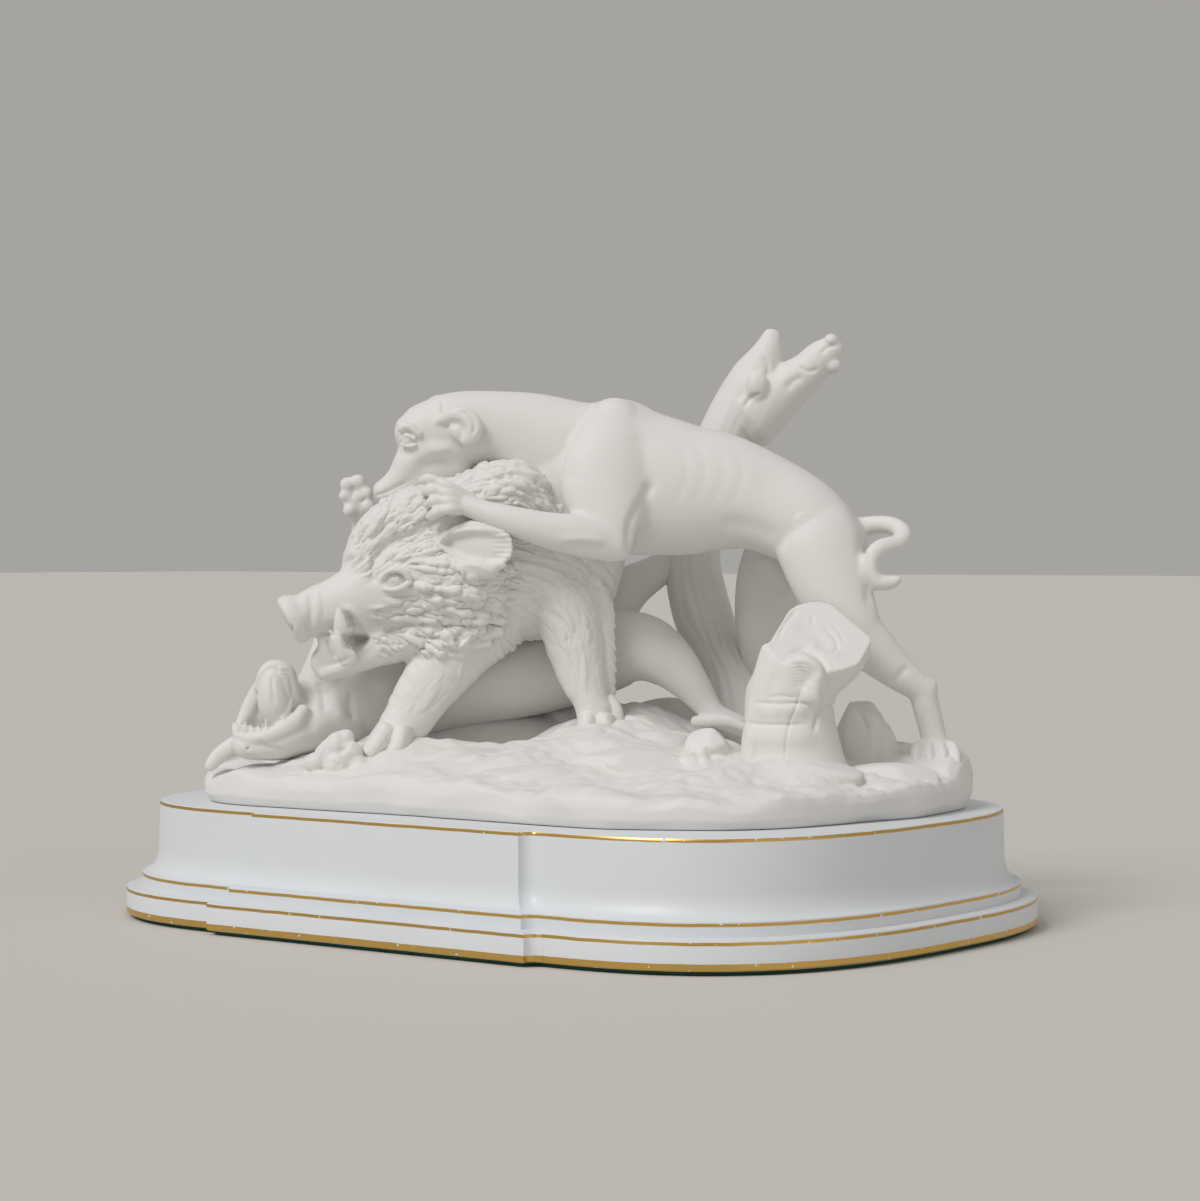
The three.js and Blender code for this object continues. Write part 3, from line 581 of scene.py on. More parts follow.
# Thighs, hocks, cannons and feet
limb(clay, [[140, -32, 268, 10, 14], [149, -41, 257, 17, 25], [156, -47, 246, 20, 28],
            [165, -54, 219, 18, 25], [177, -60, 193, 14, 19], [188, -60, 179, 11, 14]], sides=28)
limb(clay, [[180, -60, 188, 13, 18], [189, -59.5, 179.5, 12, 16], [199, -58, 170.5, 10.5, 13.8],
            [209, -57, 162, 9, 11.5], [218, -56, 155.5, 8, 9.5], [225, -55, 152, 7.5, 8]])
limb(clay, [[222, -55, 154, 8, 9], [224, -54, 143, 8, 9], [227.5, -53, 130.5, 8, 8.6],
            [229.5, -53, 121, 8.5, 8.6], [232, -54, 115, 9, 9.5]])
ball(clay, (227.5, -55, 155), (5, 5, 5.5))
limb(clay, [[146, 0, 262, 15, 24], [141, 10, 250, 16, 25], [130, 16, 222, 16, 24], [122, 22, 194, 13, 17],
            [121, 30, 172, 9, 11], [124, 40, 158, 8, 9], [118, 42, 140, 7, 8], [112, 38, 122, 8, 9]])
limb(clay, [[172, -30, 254, 8, 9], [184, -30, 256.5, 6.8, 6.8], [196, -34, 258.5, 6.2, 6.2],
            [206, -41, 257, 6, 6], [210.5, -49, 251.5, 6, 6], [206, -56, 246, 6, 6],
            [195.5, -61, 243.5, 6, 6], [188.5, -64, 237.5, 6, 6], [187.5, -65, 229.5, 5.8, 5.8],
            [191.5, -65, 222, 5.4, 5.4], [198.5, -65, 220.8, 5, 5], [205.5, -65, 223, 3.8, 3.8]], sides=16)
limb(clay, [[128, 2, 236, 7, 8], [138, 0, 222, 6, 8], [142, -2, 214, 4, 5]])
upper_hound = kneaded("upper_hound", clay, grain=1.4, melt=16)
clay = clay_of(upper_hound)
# The near ear curls round like a comma, the far one shows over the brow
limb(clay, [[-90.5, -25, 323.5, 2.6, 2.6], [-85, -28.5, 326.5, 3.4, 3.8], [-78, -31, 329, 3.8, 5],
            [-71, -33, 327.8, 4, 6.4], [-65.8, -34.5, 322, 4, 6.8], [-66.5, -34.5, 315.5, 3.8, 5.6],
            [-71, -32.5, 311.8, 3, 3.6]], sides=18)
ball(clay, (-72, -30, 320.5), (9.5, 5, 9))
limb(clay, [[-97, 0, 330, 5, 5], [-94, 0, 335.5, 5, 5.4], [-89, -2, 339, 5, 5], [-86, -2, 336, 4, 5]],
     sides=14)
for side in (-1, 1):
    y = -10 + 13 * side
    limb(clay, [[-113, y, 320.5, 2.6, 2.6], [-107, y + 2.5 * side, 322, 3, 2.8],
                [-100.5, y + 3.5 * side, 317, 2.6, 2.4]],
         sides=12)
    ball(clay, (-108.5, y - 0.9 * side, 312.5), (3.8, 3.2, 3.2))
    limb(clay, [[-113.5, y - 0.5 * side, 313.5, 1.2, 1.1], [-109, y + 1.6 * side, 316.4, 1.3, 1.1],
                [-103.5, y + 3.2 * side, 313.6, 1.2, 1]], sides=8)
    limb(clay, [[-113, y - 0.5 * side, 310.5, 1.1, 1], [-108.5, y + 1.6 * side, 308.8, 1.1, 0.9],
                [-103, y + 3.2 * side, 309.8, 1, 0.9]], sides=8)
for toe in range(4):
    limb(clay, [[-70 + 1.5 * toe, -58 + 1.5 * toe, 267.5 + 2.6 * toe, 3.4, 3.4],
                [-78 - 0.6 * toe, -62.5 + 1.5 * toe, 268 + 4.6 * toe, 3.4, 3.8],
                [-83 - 1.2 * toe, -61.5 + 2 * toe, 267 + 6.2 * toe, 3, 3],
                [-88 - 1.8 * toe, -61.5 + 2.5 * toe, 265.6 + 7.2 * toe, 3.4, 3.8],
                [-92.5 - 2 * toe, -58 + 3 * toe, 262.6 + 7.8 * toe, 2.2, 2.4]], sides=14)
    limb(clay, [[-74, 12 + 4.5 * toe, 283, 3, 3], [-84, 11 + 4.5 * toe, 283, 3, 4],
                [-92, 10 + 4.5 * toe, 279, 2.6, 3]],
         sides=14)
for toe in range(4):
    x = 217.5 + 7.6 * toe
    limb(clay, [[0.55 * x + 104, -52, 118, 3.6, 3.6], [x, -61 - 1.6 * (toe in (1, 2)), 115.5, 3.8, 4.6],
                [x + 0.7 * (toe - 1.5), -68 - 2 * (toe in (1, 2)), 111.5, 3.8, 4.4],
                [x + (toe - 1.5), -73 - 2 * (toe in (1, 2)), 107, 2.6, 3]], side=(1, 0, 0), sides=14)
upper_hound = kneaded("upper_hound", clay, grain=0.9, melt=2)
folded(upper_hound, [
    # Thigh, flank, ribs and shoulder
    (-60, 0, 9, 1.0, [(112, 290), (128, 281), (138, 266), (141, 250), (142, 240)]),
    (-60, 0, 6, 1.2, [(92, 259), (112, 257), (130, 250)]),
    (-90, -30, 3.2, 1.8, [(182, 250), (183, 236), (186, 220), (187, 206)]),
    (-60, 0, 9, 0.9, [(40, 318), (43, 297), (43, 276)]),
    (-70, 0, 8, 1.0, [(2, 322), (-3, 303), (-2, 284)]),
    (-70, 0, 3.5, -1.0, [(9, 337), (24, 335.5), (40, 329)]),
    (-90, -30, 2.4, -0.9, [(-9, 248), (6, 249), (18, 247)]),
    (-90, -30, 3, 1.0, [(-6, 243.5), (10, 243.5), (22, 241)]),
    *[(-60, 0, 3.2, 0.35,
       [(66 + 12 * k, 312 - 2 * k), (71 + 12 * k, 298), (70 + 12 * k, 284), (63 + 12 * k, 270)])
      for k in range(4)],
    (-90, -20, 3.2, 2.4, [(50, 286), (45, 276), (37, 262), (35, 250), (36, 238)]),
    # Mouth, stop, cheekbone and the folds of the ears
    (-60, 0, 1.3, 1.1, [(-131.5, 277), (-124, 279), (-116, 283), (-108, 287)]),
    (-60, 0, 3.2, 0.9, [(-116, 306), (-110, 304), (-103, 305)]),
    (-60, 0, 3, 0.9, [(-101, 297), (-90, 300), (-78, 306)]),
    (-60, 0, 3.4, -0.8, [(-101, 303), (-90, 306), (-79, 307)]),
    (-60, 0, 2.8, 1.3, [(-80, 322), (-75, 323), (-70, 318)]),
    (-60, 0, 1.1, 1.3, [(-74, 331.5), (-67.5, 328.5), (-64.4, 322), (-66, 316)]),
    (-60, 0, 1.2, 1.2, [(-86.5, 338), (-85.5, 334), (-86, 330)]),
    (-60, 0, 1.3, 1.3, [(-133.4, 282), (-132.2, 280.6)]),
    (-90, -30, 2.6, 1.0, [(201, 156), (206, 162), (212, 168)]),
])
thinned(upper_hound, most=150000)
set_down(upper_hound)

# Lower hound
# It lies on its back under the boar with its head upside down. Teeth and tongue were cut in after casting.
clay = bmesh.new()
limb(clay, [[-168, 16, 138, 22, 21], [-143, 22, 143, 28, 24], [-110, 26, 149, 32, 30],
            [-70, 28, 155, 32, 30], [-30, 26, 160, 29, 28], [3, 22, 167, 26, 26], [28, 16, 175, 24, 24]],
            sides=32)
limb(clay, [[-150, 18, 136, 24, 22], [-168, 12, 131, 23, 22], [-180, 4, 122.5, 22, 18],
            [-192, -4, 117, 20, 12.5], [-204, -10, 114.5, 15.5, 9.8], [-213, -14, 114, 11, 8.5],
            [-218, -14, 116, 8, 7.5]], sides=28)
limb(clay, [[-182, 0, 132, 13, 13], [-188.5, -3, 146, 11, 9.5], [-192.5, -6, 157, 10, 9.2],
            [-194, -8, 163, 8, 6.5]], sides=24)
ball(clay, (-152, 6, 132), (9, 9, 8))
# Ear spread on the ground, hind legs and the foreleg raised behind the boar's snout
limb(clay, [[-202, -2, 120, 5, 8], [-215, -5, 117, 5, 7.5], [-226, -8, 112, 4.5, 6.5],
            [-234, -10, 106, 4, 5.5], [-238.5, -12, 100, 3.5, 4]], sides=16)
limb(clay, [[14, 14, 177, 22, 25], [43, 6, 178, 19, 23], [61, 0, 169, 16, 18], [75, -4, 155, 12, 13],
            [85, -6, 142, 9, 9.5], [92, -8, 134, 9, 8], [108, -10, 127, 9, 7]], sides=28)
limb(clay, [[14, 40, 190, 17, 20], [33, 50, 214, 14, 16], [50, 56, 225, 12, 12], [66, 60, 236, 10, 10],
            [74, 62, 250, 8, 8]])
limb(clay, [[-166, 10, 150, 14, 20], [-163, 12, 172, 12, 13], [-158, 14, 198, 8, 9.5], [-149, 14, 226, 6, 7],
            [-142.5, 12, 252, 5.4, 5.6], [-142, 10, 265, 6.5, 6.8], [-144.5, 7, 277, 7, 9]])
PAW_PADS = ((-150, 285, 5.2), (-142.5, 287, 5.4), (-137, 279, 5), (-151.5, 277.5, 4.2),
            (-135.5, 270.5, 5.4), (-148, 268, 5))
for x, z, size in PAW_PADS:
    ball(clay, (x, 4, z), (size, 5, size))
lower_hound = kneaded("lower_hound", clay, grain=1.4, melt=10)
clay = clay_of(lower_hound)
# Far cheek behind the open mouth, tongue, and the lips round both jaws
limb(clay, [[-217.5, -8, 126, 5, 5], [-213, -6, 138, 5, 5.6], [-207.5, -6, 149, 5, 5.4],
            [-203, -7, 158, 5, 4]], sides=16)
limb(clay, [[-208, -3, 128, 5, 11], [-203, -2, 141, 6, 9], [-198, -3, 152, 6, 7]], sides=16)
limb(clay, [[-193, -10, 130, 8, 9], [-195.5, -14, 141, 9.5, 11], [-196.5, -15, 151, 8.5, 9.6],
            [-196.5, -14, 160, 6.5, 7], [-196, -12, 165, 4, 4.5]])
limb(clay, [[-206, -10, 152, 5, 3.4], [-203.5, -12, 160, 5.4, 4], [-199, -12.5, 165.4, 5.6, 4.4],
            [-192.5, -12.5, 166, 5.6, 4.6], [-187, -12, 162.5, 5.4, 4.6], [-184.5, -11, 155, 5, 4.4],
            [-183, -10, 145, 5, 4.4]], sides=14)
limb(clay, [[-221, -11, 127, 3.4, 3], [-218.5, -16, 122, 4, 4], [-212, -19.5, 119.5, 4.6, 4.6],
            [-203, -21.5, 120, 4.6, 5], [-192, -20.5, 124, 4.6, 5.6], [-182, -17, 130, 4.6, 6],
            [-176, -12, 138, 4.6, 5]], sides=14)
limb(clay, [[-184.5, -14, 149, 1.8, 1.8], [-185.5, -17, 140, 2, 2], [-190, -19.5, 132.5, 2, 2]], sides=10)
for tooth in range(7):
    t = tooth / 6
    x = -217.5 + 25 * t
    z = 126 - 4 * math.sin(math.pi * t) + 5 * t
    y = -15 - 6 * math.sin(math.pi * min(1, 0.2 + t))
    tall = 5.4 if tooth in (1, 4) else 4
    limb(clay, [[x, y, z - 1, 2.2, 2.3], [x, y - 0.3, z + 0.5 * tall, 2, 2.1], [x, y, z + tall, 1.1, 1.1]],
         sides=10, fine=2)
    limb(clay, [[-186 - 2.6 * t, -16.5, 147.5 + 17 * t, 1.9, 1.9],
                [-189 - 2.6 * t, -18.5, 148 + 17 * t, 1.2, 1.2]],
         sides=8, fine=2)
ball(clay, (-212, -21, 113.6), (4.6, 3.4, 3.6))
for toe in range(4):
    limb(clay, [[78 + 4 * toe, -12 + 2 * toe, 130, 3.4, 4], [98 + 2 * toe, -18 + 5.5 * toe, 131, 3.6, 4.2],
                [110 + toe, -21 + 6.5 * toe, 127, 2.8, 3]], sides=12)
lower_hound = kneaded("lower_hound", clay, grain=0.8, melt=4)
folded(lower_hound, [
    (-60, 60, 2.8, 2.2, [(-146, 150), (-147, 140), (-144, 130)]),
    (-60, 60, 3.0, 1.6, [(-168, 156), (-165, 147), (-163, 136)]),
    (-60, 60, 3.5, -1.2, [(-158, 152), (-155, 140), (-153, 131)]),
    (-60, 60, 5, 1.2, [(-176, 148), (-172, 136), (-172, 122)]),
    (-60, 60, 6, 1.2, [(-112, 152), (-124, 146), (-137, 148)]),
    (-60, 60, 8, -1.0, [(-128, 160), (-116, 144), (-96, 136)]),
    (-60, 60, 1.2, 0.9, [(-196.5, 160), (-196, 152), (-194.5, 142)]),
    (-60, 60, 1.5, 2.0, [(-212.6, 113.8), (-211.4, 113)]),
    (-60, 60, 1.8, 1.2, [(-206, 118), (-198, 114), (-190, 112)]),
    (-60, 60, 2.4, -0.8, [(-208, 110), (-196, 107), (-184, 108)]),
    (-60, 60, 1.1, 1.0, [(-146, 284), (-146, 276)]), (-60, 60, 1.1, 1.0, [(-141, 273), (-137, 276)]),
    (-60, 60, 2.6, 1.4, [(-196, 128), (-205, 128), (-214, 130)]),
])
thinned(lower_hound, most=150000)
set_down(lower_hound)

# Tree and stump
# Two broken trunks that prop the figures up in the kiln. Bark is scored in the clay with a wooden tool.
TRUNK = [[112, 40, 104, 32, 30], [109, 42, 130, 26, 25], [103, 46, 158, 22, 20], [94, 50, 178, 20, 19],
         [85, 54, 200, 20, 20], [79, 58, 234, 17, 19], [84, 60, 270, 18, 18], [93, 63, 300, 18, 18],
         [103, 65, 323, 19, 18.5], [113, 66, 343, 18, 18], [124, 66, 362, 15, 16.5],
         [130, 66, 377.5, 10, 10], [133, 66, 388, 5, 6]]
BRANCH = [[116, 64, 332, 20, 24], [136, 64, 347.5, 17, 19], [155, 62, 361.5, 13, 13.5],
          [166, 60, 372, 11, 12], [174, 58, 378.5, 8, 9]]
STUMP = [[138, -96, 96, 36, 38], [137, -96, 108, 31, 33], [136, -96, 121, 28, 30], [134.5, -96, 139, 27, 28],
         [135.5, -97, 153, 27, 28], [140.5, -98, 167, 27, 28.5], [148, -99, 178, 28, 31],
         [154, -99.5, 187, 28, 32], [156, -100, 199, 27, 29], [156, -100, 216, 26, 26]]
CUT_POINT = (155, -100, 187.5)
CUT_WAY = (0.1, -0.64, 0.76)
CHIPS = (((125.5, -100, 190), (-0.88, 0.1, 0.48)), ((174.5, -100, 199), (0.7, 0.1, 0.7)),
         ((184, -100, 178), (0.9, -0.4, -0.1)))
clay = bmesh.new()
limb(clay, STUMP, sides=40, blunt=0.2)
for point, way in ((CUT_POINT, CUT_WAY), *CHIPS):
    bmesh.ops.bisect_plane(clay, geom=clay.verts[:] + clay.edges[:] + clay.faces[:], plane_co=point,
                           plane_no=Vector(way).normalized(), clear_outer=True)
    bmesh.ops.holes_fill(clay, edges=[edge for edge in clay.edges if edge.is_boundary])
# Bark standing up along the left edge, and the torn flap at the front
limb(clay, [[121, -108, 180, 6, 5], [118, -106, 168, 8, 5.5], [114.5, -104, 154, 9, 5.5],
            [113, -104, 134, 10, 7], [112, -104, 112, 12, 9]], sides=18)
limb(clay, [[134, -119, 170, 5, 5], [143, -121, 171, 6, 6], [150, -120, 164, 7, 7], [146, -119, 152, 8, 9]],
     sides=16)
limb(clay, [[112, -108, 102, 12, 11], [130, -118, 101, 14, 12], [154, -116, 100, 14, 11],
            [170, -106, 98, 12, 10]])
limb(clay, TRUNK, sides=40)
limb(clay, BRANCH, sides=28)
ball(clay, (173, 56, 366), (6.5, 6, 5.5))
ball(clay, (172, 55, 383), (5, 6, 5))
ball(clay, (122, 48, 352), (8, 6, 11))
tree = kneaded("tree", clay, grain=0.95, melt=7)
bark = [(-140, -60, 0.7, 0.7,
         [(133 + 0.3 * k, 171 - 2.2 * k), (141, 171.6 - 2.2 * k), (149 - 0.3 * k, 167 - 2.2 * k)])
        for k in range(7)]
bark += [(-140, -60, 1.1, 1.3, [(112, 147.6), (124, 147), (136, 147.6), (148, 147)]),
         (-140, -60, 1.0, 1.2, [(106, 135), (120, 134), (142, 134.6)]),
         (-140, -60, 5, -1.8, [(112, 143), (128, 143), (146, 143)]),
         (-140, -60, 6, -1.8, [(106, 126), (124, 126), (150, 127)]),
         (-140, -60, 3, -1.6, [(134, 173), (142, 175), (151, 168), (150, 160)]),
         (-140, -60, 1.6, 1.6, [(134, 178), (142, 180), (153, 174), (156, 166)]),
         (-140, -60, 0.8, 1.0, [(120, 151), (128, 152), (138, 151)]),
         (-140, -60, 0.7, 1.1, [(140, 156), (137, 146), (133, 136), (131, 124), (130, 112)]),
         (-140, -60, 1.4, 1.5, [(153, 158), (154, 148), (150, 138), (148, 130)]),
         (-140, -60, 1.2, 1.2, [(155, 146), (166, 144)]),
         (-140, -60, 3.5, 1.2, [(124, 166), (121, 152), (120, 140)]),
         (-140, -60, 1.0, 0.8, [(157, 193), (162.5, 187), (163.5, 181), (160, 178)]),
         (-140, -60, 0.8, 0.5, [(161, 197), (166, 190), (168, 184)]),
         (-140, -60, 1.0, 0.7, [(150, 201), (149, 195)]),
         (-140, -60, 4, 0.8, [(140, 196), (150, 190), (158, 180)]),
         (-140, -60, 3, -0.9, [(146, 184), (154, 178), (166, 176)]),
         (-140, -60, 1.2, 1.2, [(127, 188), (133, 197), (140, 204)])]
for share, deep in ((-0.55, 1.0), (-0.2, 1.5), (0.2, 1.3), (0.55, 1.5), (0.8, 1.0)):
    bark.append((0, 100, 2.2, deep, [(x + share * high + 1.5 * math.sin(z / 9 + 9 * share), z)
                                     for x, y, z, deep_half, high in TRUNK[1:7]]))
    bark.append((20, 100, 3.0, 0.4 * deep, [(x + share * high + math.sin(z / 6 + 7 * share), z)
                                            for x, y, z, deep_half, high in TRUNK[6:12]]))
bark += [(0, 100, 0.9, 1.4, [(91, 200), (95, 190), (97, 178)]), (0, 100, 0.8, 1.0, [(88, 196), (96, 193)])]
bark += [(20, 100, 1.6, 1.4, [(113, 338), (117, 344), (124, 346)]),
         (20, 100, 1.4, 1.0, [(150, 366), (156, 362), (163, 364)]),
         (20, 100, 1.4, 1.0, [(165, 374), (169, 378), (175, 380)]),
         (20, 100, 2.5, 1.4, [(141, 350), (147, 356), (152, 358)]),
         (20, 100, 1.4, 1.0, [(126, 372), (130, 366), (128, 358)])]
folded(tree, bark, facing=False)
thinned(tree, most=130000)
set_down(tree)

# Ground
# The floor of the casting, a broken slab with boulders, pressed thin and open underneath.
LIP = 20
PLINTH_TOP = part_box("plinth")[1].z / MM
CAST_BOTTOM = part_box("porcelain_group")[0].z / MM
CAST_LENGTH, CAST_DEPTH, CAST_FLAT, CAST_POWER = 246, 160.3, 90, 2.5
BOULDERS = ((-110, -40, 14, 45), (-60, -75, 14, 55), (20, -60, 22, 60), (60, 20, 26, 70),
            (110, -110, 14, 55), (200, -60, 12, 50), (240, -50, 10, 32), (-40, 90, 16, 70),
            (60, 110, 14, 60), (-170, -10, 8, 40), (170, 30, 12, 60), (-120, 70, 10, 60), (10, 20, 12, 60))


def ground_height(x, y):
    """The height of the rocky ground: broad mounds, folds, cracks and fine pits."""
    lift = sum(high * math.exp(-((x - at_x) ** 2 + (y - at_y) ** 2) / wide ** 2)
               for at_x, at_y, high, wide in BOULDERS)
    swell = 7 * noise.noise(Vector((x / 40, y / 28, 1.7)))
    broad = swell + 3.2 * abs(noise.noise(Vector((x / 18, y / 13, 4.2)))) - 1
    cracks = 2.4 * (0.35 - min(0.35, abs(noise.noise(Vector((x / 30, y / 17, 8.6))))))
    fine = 1.1 * noise.noise(Vector((x / 7, y / 5, 2.9)))
    return CAST_BOTTOM + LIP + lift + broad - 1.6 * cracks + fine


# The left and right ends reach further out [share, direction]
LONGER_ENDS = ((0.055, 0.46), (0.05, -2.49))
clay = bmesh.new()
AROUND = 360
SHARES = (0.985, 1.0, 1.0, 0.992, 0.975, *np.linspace(0.945, 0.05, 50))
rings = [bmesh.ops.create_circle(clay, cap_ends=False, segments=AROUND, radius=1)["verts"]]
edges = clay.edges[:]
for share in SHARES[1:]:
    grown = bmesh.ops.extrude_edge_only(clay, edges=edges)["geom"]
    rings.append([v for v in grown if isinstance(v, bmesh.types.BMVert)])
    edges = [e for e in grown if isinstance(e, bmesh.types.BMEdge)]
for number, (ring, share) in enumerate(zip(rings, SHARES)):
    for corner in ring:
        angle = math.atan2(corner.co.y, corner.co.x)
        c, s = math.cos(angle), math.sin(angle)
        low, high = 0, 300
        while high - low > 0.02:
            middle = (low + high) / 2
            along = max(abs(middle * c) - CAST_FLAT, 0) / (CAST_LENGTH - CAST_FLAT)
            inner = along ** CAST_POWER + abs(middle * s / CAST_DEPTH) ** CAST_POWER < 1
            low, high = (middle, high) if inner else (low, middle)
        broken = 1 + 0.01 * math.sin(5 * angle) + 0.006 * math.sin(13 * angle + 1)
        dent = 0.012 * noise.noise(Vector((6 * c, 6 * s, 0.4 * number))) if number < 8 else 0
        ends = sum(out * math.exp(-((angle - turn) / 0.3) ** 2) for out, turn in LONGER_ENDS)
        reach = low * share * (broken + dent + ends - 0.004)
        spot = Matrix.Rotation(-VIEW_TURN, 3, "Z") @ Vector((reach * c, reach * s, 0))
        top = ground_height(spot.x, spot.y)
        rise = (0, 0.28, 0.62, 0.86, 0.96)[number] if number < 5 else 1
        spot.z = CAST_BOTTOM + rise * (top - CAST_BOTTOM)
        corner.co = spot
bmesh.ops.contextual_create(clay, geom=edges)
bmesh.ops.contextual_create(clay, geom=[e for e in clay.edges if len(e.link_faces) == 1])
bmesh.ops.recalc_face_normals(clay, faces=clay.faces)


BROKEN_FACES = 11


def rock(clay, centre, radii, seed):
    """A boulder with broken faces: a ball cut flat on random sides."""
    rough = bmesh.new()
    bmesh.ops.create_icosphere(rough, subdivisions=4, radius=1)
    luck = random.Random(seed)
    for chip in range(BROKEN_FACES):
        way = Vector((luck.uniform(-1, 1), luck.uniform(-1, 1), luck.uniform(-0.4, 1))).normalized()
        depth = luck.uniform(0.74, 0.92)
        for corner in rough.verts:
            over = corner.co.dot(way) - depth
            if over > 0:
                corner.co -= way * over * 0.9
    place = Matrix.Translation(centre) @ Matrix.Diagonal((*radii, 1))
    bmesh.ops.transform(rough, matrix=place, verts=rough.verts)
    pressed(clay, rough)


# Rocks [across, away, up, half width, half depth, half height]
ROCKS = ((182, -52, 118, 18, 18, 31), (196, -50, 112, 12, 16, 20), (210, -44, 108, 16, 16, 10),
         (84, -88, 115, 17, 13, 14), (76, -104, 106, 18, 14, 9), (-150, -58, 116, 9, 8, 9),
         (-158, -57, 111, 8, 7, 9), (-143, -60, 111, 9, 8, 8), (-165, -54, 105, 8, 8, 7),
         (-137, -60, 104, 9, 8, 7), (-151, -62, 105, 9, 8, 8), (-146, -57, 121, 6, 5, 6),
         (-30, -124, 96, 40, 20, 14), (34, -104, 106, 36, 24, 12), (132, -124, 100, 52, 24, 12),
         (196, -100, 96, 36, 24, 12), (50, -58, 116, 26, 18, 10), (-90, -84, 96, 36, 22, 12),
         (-205, -2, 90, 32, 26, 12), (10, 50, 118, 46, 40, 22), (-70, 110, 104, 50, 30, 16),
         (120, 90, 108, 40, 30, 20), (62, 40, 122, 34, 26, 20))
for seed, (x, y, z, wide, deep, high) in enumerate(ROCKS):
    rock(clay, (x, y, z), (wide, deep, high), seed)
ball(clay, (-48, 44, 102), (84, 42, 31))
ground = kneaded("ground", clay, grain=1.1, melt=3)
folded(ground, [
    (-80, -40, 2.2, 1.6, [(-149, 119), (-146, 112)]), (-80, -40, 1.8, 1.4, [(-153, 107), (-148, 103)]),
    (-80, -40, 1.4, 1.0, [(-158, 116), (-160, 108)]), (-120, -60, 2, 1.6, [(82, 118), (87, 110)]),
    (-120, -60, 1.6, 1.2, [(76, 116), (78, 108)]), (-120, -30, 1.4, 1.0, [(180, 140), (186, 126)]),
    (-120, -30, 1.2, 0.9, [(190, 128), (197, 116)]),
])
thinned(ground, most=170000)
set_down(ground, sunk=0)


# Porcelain surface
# Bisque is fired without glaze, so it is matt and faintly warm, with a fine grain.
# The hollows of the carving are painted darker and warmer: painted shade, with a little dust.
class Shade:
    """A socket of a material that can be used in plain expressions."""

    def __init__(self, tree, socket):
        self.tree = tree
        self.socket = socket

    def node(self, kind, settings=None, inputs=None, out=0):
        made = self.tree.nodes.new(kind)
        for name, value in (settings or {}).items():
            if name == "stops":
                ramp = made.color_ramp
                while len(ramp.elements) < len(value):
                    ramp.elements.new(0.5)
                for stop, (place, colour) in zip(ramp.elements, value):
                    stop.position = place
                    stop.color = colour
            else:
                setattr(made, name, value)
        for name, value in (inputs or {}).items():
            if isinstance(value, Shade):
                self.tree.links.new(value.socket, made.inputs[name])
            else:
                made.inputs[name].default_value = value
        return Shade(self.tree, made.outputs[out])

    def maths(self, operation, other):
        return self.node("ShaderNodeMath", {"operation": operation}, {0: self, 1: other})

    def __add__(self, other):
        return self.maths("ADD", other)

    def __sub__(self, other):
        return self.maths("SUBTRACT", other)

    def __rsub__(self, other):
        return self.node("ShaderNodeMath", {"operation": "SUBTRACT"}, {0: other, 1: self})

    def __mul__(self, other):
        return self.maths("MULTIPLY", other)

    def __truediv__(self, other):
        return self.maths("DIVIDE", other)

    def clamped(self):
        return self.node("ShaderNodeClamp", {}, {"Value": self})

    def mixed(self, first, second):
        return self.node("ShaderNodeMix", {"data_type": "RGBA"}, {0: self, 6: first, 7: second}, out=2)

    def clouded(self, scale, detail):
        return self.node("ShaderNodeTexNoise", {}, {"Vector": self, "Scale": scale, "Detail": detail})

    def feeds(self, shader, name):
        self.tree.links.new(self.socket, shader.inputs[name])


def new_material(name, roughness):
    """A material's shader, its node tree and the place on the object as the start of expressions."""
    made = bpy.data.materials.new(name)
    made.use_nodes = True
    shader = made.node_tree.nodes["Principled BSDF"]
    shader.inputs["Roughness"].default_value = roughness
    place = made.node_tree.nodes.new("ShaderNodeTexCoord")
    return made, shader, Shade(made.node_tree, place.outputs["Object"])


def marked_crevices(piece):
    """Keeps on each point how hollow the surface is there, for the painted shade and a little dust in the
    carving.
    """
    mesh = piece.data
    place, normal = [points.astype(float) for points in points_of(piece)]
    count = len(place)
    pair = np.empty(len(mesh.edges) * 2, np.int64)
    mesh.edges.foreach_get("vertices", pair)
    first, second = pair.reshape(-1, 2).T
    run = place[second] - place[first]
    run /= np.maximum(np.linalg.norm(run, axis=1), 1e-9)[:, None]
    ways = np.bincount(first, minlength=count) + np.bincount(second, minlength=count)
    ways = np.maximum(ways, 1)
    hollow = np.bincount(first, (run * normal[first]).sum(1), count)
    hollow -= np.bincount(second, (run * normal[second]).sum(1), count)
    hollow /= ways
    for again in range(3):
        spread = np.bincount(first, hollow[second], count) + np.bincount(second, hollow[first], count)
        hollow = 0.5 * hollow + 0.5 * spread / ways
    mark = mesh.attributes.new("crevice", "FLOAT", "POINT")
    mark.data.foreach_set("value", hollow.astype(np.float32))


BISQUE = (0.785, 0.769, 0.748, 1)
# Warm beige of the painted shade in the hollows, which also stands for a little dust
SHADE_AND_DUST = (0.63, 0.53, 0.42, 1)
RUST = (0.42, 0.17, 0.06, 1)
bisque, shader, spot = new_material("bisque_porcelain", 0.55)
crevice = spot.node("ShaderNodeAttribute", {"attribute_name": "crevice"}, out=2)
cloud = spot.clouded(18.0, 4.0)
# Painted shade: the more hollow the surface, the nearer it is mixed to warm beige, with a little dust and a
# random cloud
shade_and_dust_share = (crevice * 2.4 + (cloud - 0.5) * 0.35 - 0.08).clamped()
skin_colour = (shade_and_dust_share * 0.55).mixed(BISQUE, SHADE_AND_DUST)
